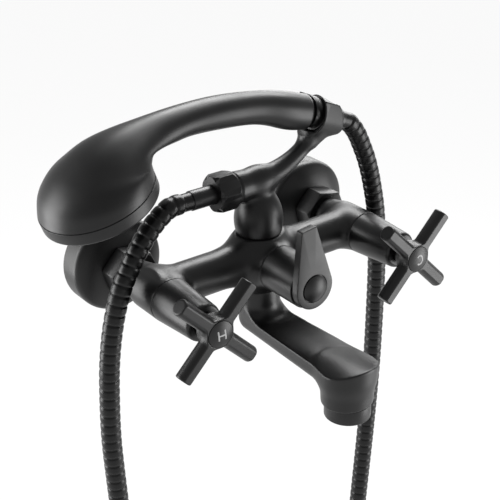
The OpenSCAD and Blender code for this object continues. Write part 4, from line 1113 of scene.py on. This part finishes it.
nozzles, given, keys = shape_tree("spray_nozzles", {
    "Geometry": "Geometry", "Ring Step": "Float", "Teat": "Object", "Finish": "Material",
})
spots = nozzles.nodes.new("GeometryNodeJoinGeometry")
middle_spot = nozzles.nodes.new("GeometryNodePoints")
nozzles.links.new(middle_spot.outputs[0], spots.inputs["Geometry"])
for number in range(1, nozzle_rings + 1):
    row = made(nozzles, "GeometryNodeMeshCircle", {
        "Vertices": 6 * number, "Radius": sums(nozzles, "MULTIPLY", given["Ring Step"], float(number)),
    })
    as_points = made(nozzles, "GeometryNodeMeshToPoints", {"Mesh": row.outputs["Mesh"]})
    nozzles.links.new(as_points.outputs["Points"], spots.inputs["Geometry"])
teats = made(nozzles, "GeometryNodeInstanceOnPoints", {
    "Points": spots.outputs["Geometry"],
    "Instance": made(nozzles, "GeometryNodeObjectInfo", {"Object": given["Teat"]}).outputs["Geometry"],
})
with_mat = made(nozzles, "GeometryNodeJoinGeometry", {"Geometry": teats.outputs["Instances"]})
nozzles.links.new(given["Geometry"], with_mat.inputs["Geometry"])
hand_out(nozzles, with_mat.outputs["Geometry"], given["Finish"])

mat_r, mat_front = head_r - 3.9, ring_h - 2.2
outline = rounded([
    (0, plate_seat, 0.0), (mat_r, plate_seat, 0.2), (mat_r, mat_front, 0.2), (0, mat_front, 0.0),
])
host = placed("nozzle_mat", mesh_of("nozzle_mat", *turned(outline, (0, 0, 0), (0, 0, 1), 96)))
nozzle_mesh = grown(host, nozzles, {
    keys["Ring Step"]: ring_spacing * MM,
    keys["Teat"]: teat_object,
    keys["Finish"]: nozzle_rubber,
})
bpy.data.objects.remove(teat_object)
head_axes = Matrix((
    (-math.cos(head_tilt), 0, math.sin(head_tilt)),
    (0, 1, 0),
    (-math.sin(head_tilt), 0, -math.cos(head_tilt)),
)).to_4x4()
nozzle_mesh.transform(Matrix.Translation(Vector(head_at * MM)) @ head_axes)
face_out(nozzle_mesh)
settle("spray_nozzles_soft", nozzle_mesh, "hand_shower", ["spray_nozzles"], sharp=40)


# Handle collar. A turned ring between the handle's leaning end and the cradle's cup, so it
# is a wedge: wide on top and narrow below. A groove parts it from the handle.
band_r, band_front, band_groove_r, band_groove = 9.7, cup_s - 0.7, 7.6, 1.9
band_bore, socket_r, socket_floor = 6.0, 8.7, 7.0
end_mid, end_drop, end_r = 4.0, 4.0, 9.8
outline = rounded([
    (band_bore, 0.0, 0.0),
    (band_groove_r, 0.0, 0.0),
    (band_groove_r, band_groove, 0.0),
    (band_r, band_groove, 0.3),
    (band_r, band_front, 0.4),
    (socket_r, band_front, 0.0),
    (socket_r, socket_floor, 0.0),
    (band_bore, socket_floor, 0.0),
])
points, faces = turned(outline, (0, 0, 0), (0, 0, 1), 96)
points = np.array(points)
share = np.clip((socket_floor - points[:, 2]) / (socket_floor - band_groove), 0, 1)
points[:, 2] += share * (end_mid + end_drop / (2 * end_r) * points[:, 0])
points = stand(points, tail_start, -tail_up, (0, 1, 0), tail_way)
coated("handset_collar_ring", (points, faces), "handset_collar", "hand_shower")


# Inner pieces. Cartridges, spindles, discs, seals, screws and the aerator's insert stay as they were made,
# each in the finish of its own stuff. The hand shower's connector is the exception: it is black as painted
# shade.
rubber = finish(
    "seal_rubber", (0.010, 0.010, 0.010), (0.016, 0.016, 0.016), (0.55, 0.70), grain_mm=0.3, relief=0.12
)
ceramic = finish(
    "white_ceramic", (0.72, 0.71, 0.66), (0.80, 0.79, 0.75), (0.18, 0.26), grain_mm=0.2, relief=0.04
)
steel = finish(
    "bright_steel", (0.46, 0.47, 0.48), (0.56, 0.57, 0.58), (0.24, 0.34), metallic=1.0, grain_mm=0.4
)
grey_plastic = finish("grey_plastic", (0.17, 0.175, 0.185), (0.22, 0.225, 0.235), (0.38, 0.50), grain_mm=0.4)
plate_black = finish("spray_plate_black", coat_dark, cap_light, (0.32, 0.42), grain_mm=0.3, relief=0.08)
endings = {
    "washer": rubber, "seal": rubber, "disc": ceramic, "valve_body": brass, "cartridge": brass,
    # the hand shower's connector shows in the gap between the collar and the cup; its black coat is painted
    # shade there
    "spindle": brass, "nipple": brass, "connector": fitting_coat, "screw": steel,
    "insert": grey_plastic, "rotor": ceramic, "spray_plate": plate_black,
}
for name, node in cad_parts.items():
    for ending, material in endings.items():
        if name.endswith(ending):
            node.data.materials.clear()
            node.data.materials.append(material)


# Studio. A plain pale floor below the hose's loop and an even grey surround. A tall soft light
# stands on the left, one at the front right and one at the right edge; a broad one hangs above.
floor_z, floor_w, floor_glow = -0.56, 120, 0.92
bpy.ops.mesh.primitive_plane_add(size=floor_w, location=(0, 0, floor_z))
floor = bpy.context.object
floor.name = "floor"
paper = bpy.data.materials.new("floor_paper")
paper.use_nodes = True
tree = paper.node_tree
diffuse = tree.nodes["Principled BSDF"]
diffuse.inputs["Base Color"].default_value = (0.90, 0.90, 0.90, 1)
diffuse.inputs["Roughness"].default_value = 0.9
diffuse.inputs["Specular IOR Level"].default_value = 0.0
glow = made(tree, "ShaderNodeEmission", {"Strength": 1.0})
path = tree.nodes.new("ShaderNodeLightPath").outputs
seen = sums(tree, "MAXIMUM", path["Is Camera Ray"], path["Is Glossy Ray"])
seen = sums(tree, "MAXIMUM", seen, path["Is Transmission Ray"])
mix = made(tree, "ShaderNodeMixShader", {
    0: sums(tree, "MULTIPLY", seen, floor_glow), 1: diffuse.outputs["BSDF"], 2: glow.outputs["Emission"],
})
tree.links.new(mix.outputs["Shader"], tree.nodes["Material Output"].inputs["Surface"])
floor.data.materials.append(paper)

world = bpy.data.worlds.new("studio")
bpy.context.scene.world = world
world.use_nodes = True
surround = world.node_tree.nodes["Background"]
surround.inputs["Color"].default_value = (0.42, 0.42, 0.42, 1)
surround.inputs["Strength"].default_value = 1.0


light_aim = Vector((0, -0.06, 0.03))


def softbox(name, place, width, height, power):
    """A rectangular area light, turned to face the mixer."""
    data = bpy.data.lights.new(name, "AREA")
    data.shape = "RECTANGLE"
    data.size, data.size_y = width, height
    data.energy = power
    lamp = placed(name, data)
    lamp.location = place
    lamp.rotation_euler = (light_aim - Vector(place)).to_track_quat("-Z", "Y").to_euler()


softbox("left_light", (-0.90, 0.57, 0.02), 0.60, 1.0, 14.0)
softbox("right_light", (0.67, -0.69, -0.21), 0.50, 0.62, 6.0)
softbox("top_light", (0.72, 0.46, 1.00), 1.1, 0.56, 28.0)
softbox("edge_light", (1.03, 0.55, 0.32), 0.9, 0.4, 6.0)


# Camera. A long lens, above and to the left of the mixer, as the object is seen on the wall.
eye = Vector((-0.3834, -0.5681, 0.3167))
aim = Vector((-0.00019, -0.050, 0.00086))
roll = math.radians(-0.7)
forward = (aim - eye).normalized()
level_right = forward.cross(Vector((0, 0, 1))).normalized()
level_up = level_right.cross(forward)
right = level_right * math.cos(roll) + level_up * math.sin(roll)
up = level_up * math.cos(roll) - level_right * math.sin(roll)
camera_data = bpy.data.cameras.new("view")
camera_data.sensor_width = 36
camera_data.lens = 81.98
camera_data.clip_end = 50
camera = placed("view", camera_data)
camera.matrix_world = Matrix((
    (right.x, up.x, -forward.x, eye.x),
    (right.y, up.y, -forward.y, eye.y),
    (right.z, up.z, -forward.z, eye.z),
    (0, 0, 0, 1),
))
bpy.context.scene.camera = camera
bpy.context.scene.view_settings.view_transform = "Standard"

bpy.context.view_layer.update()
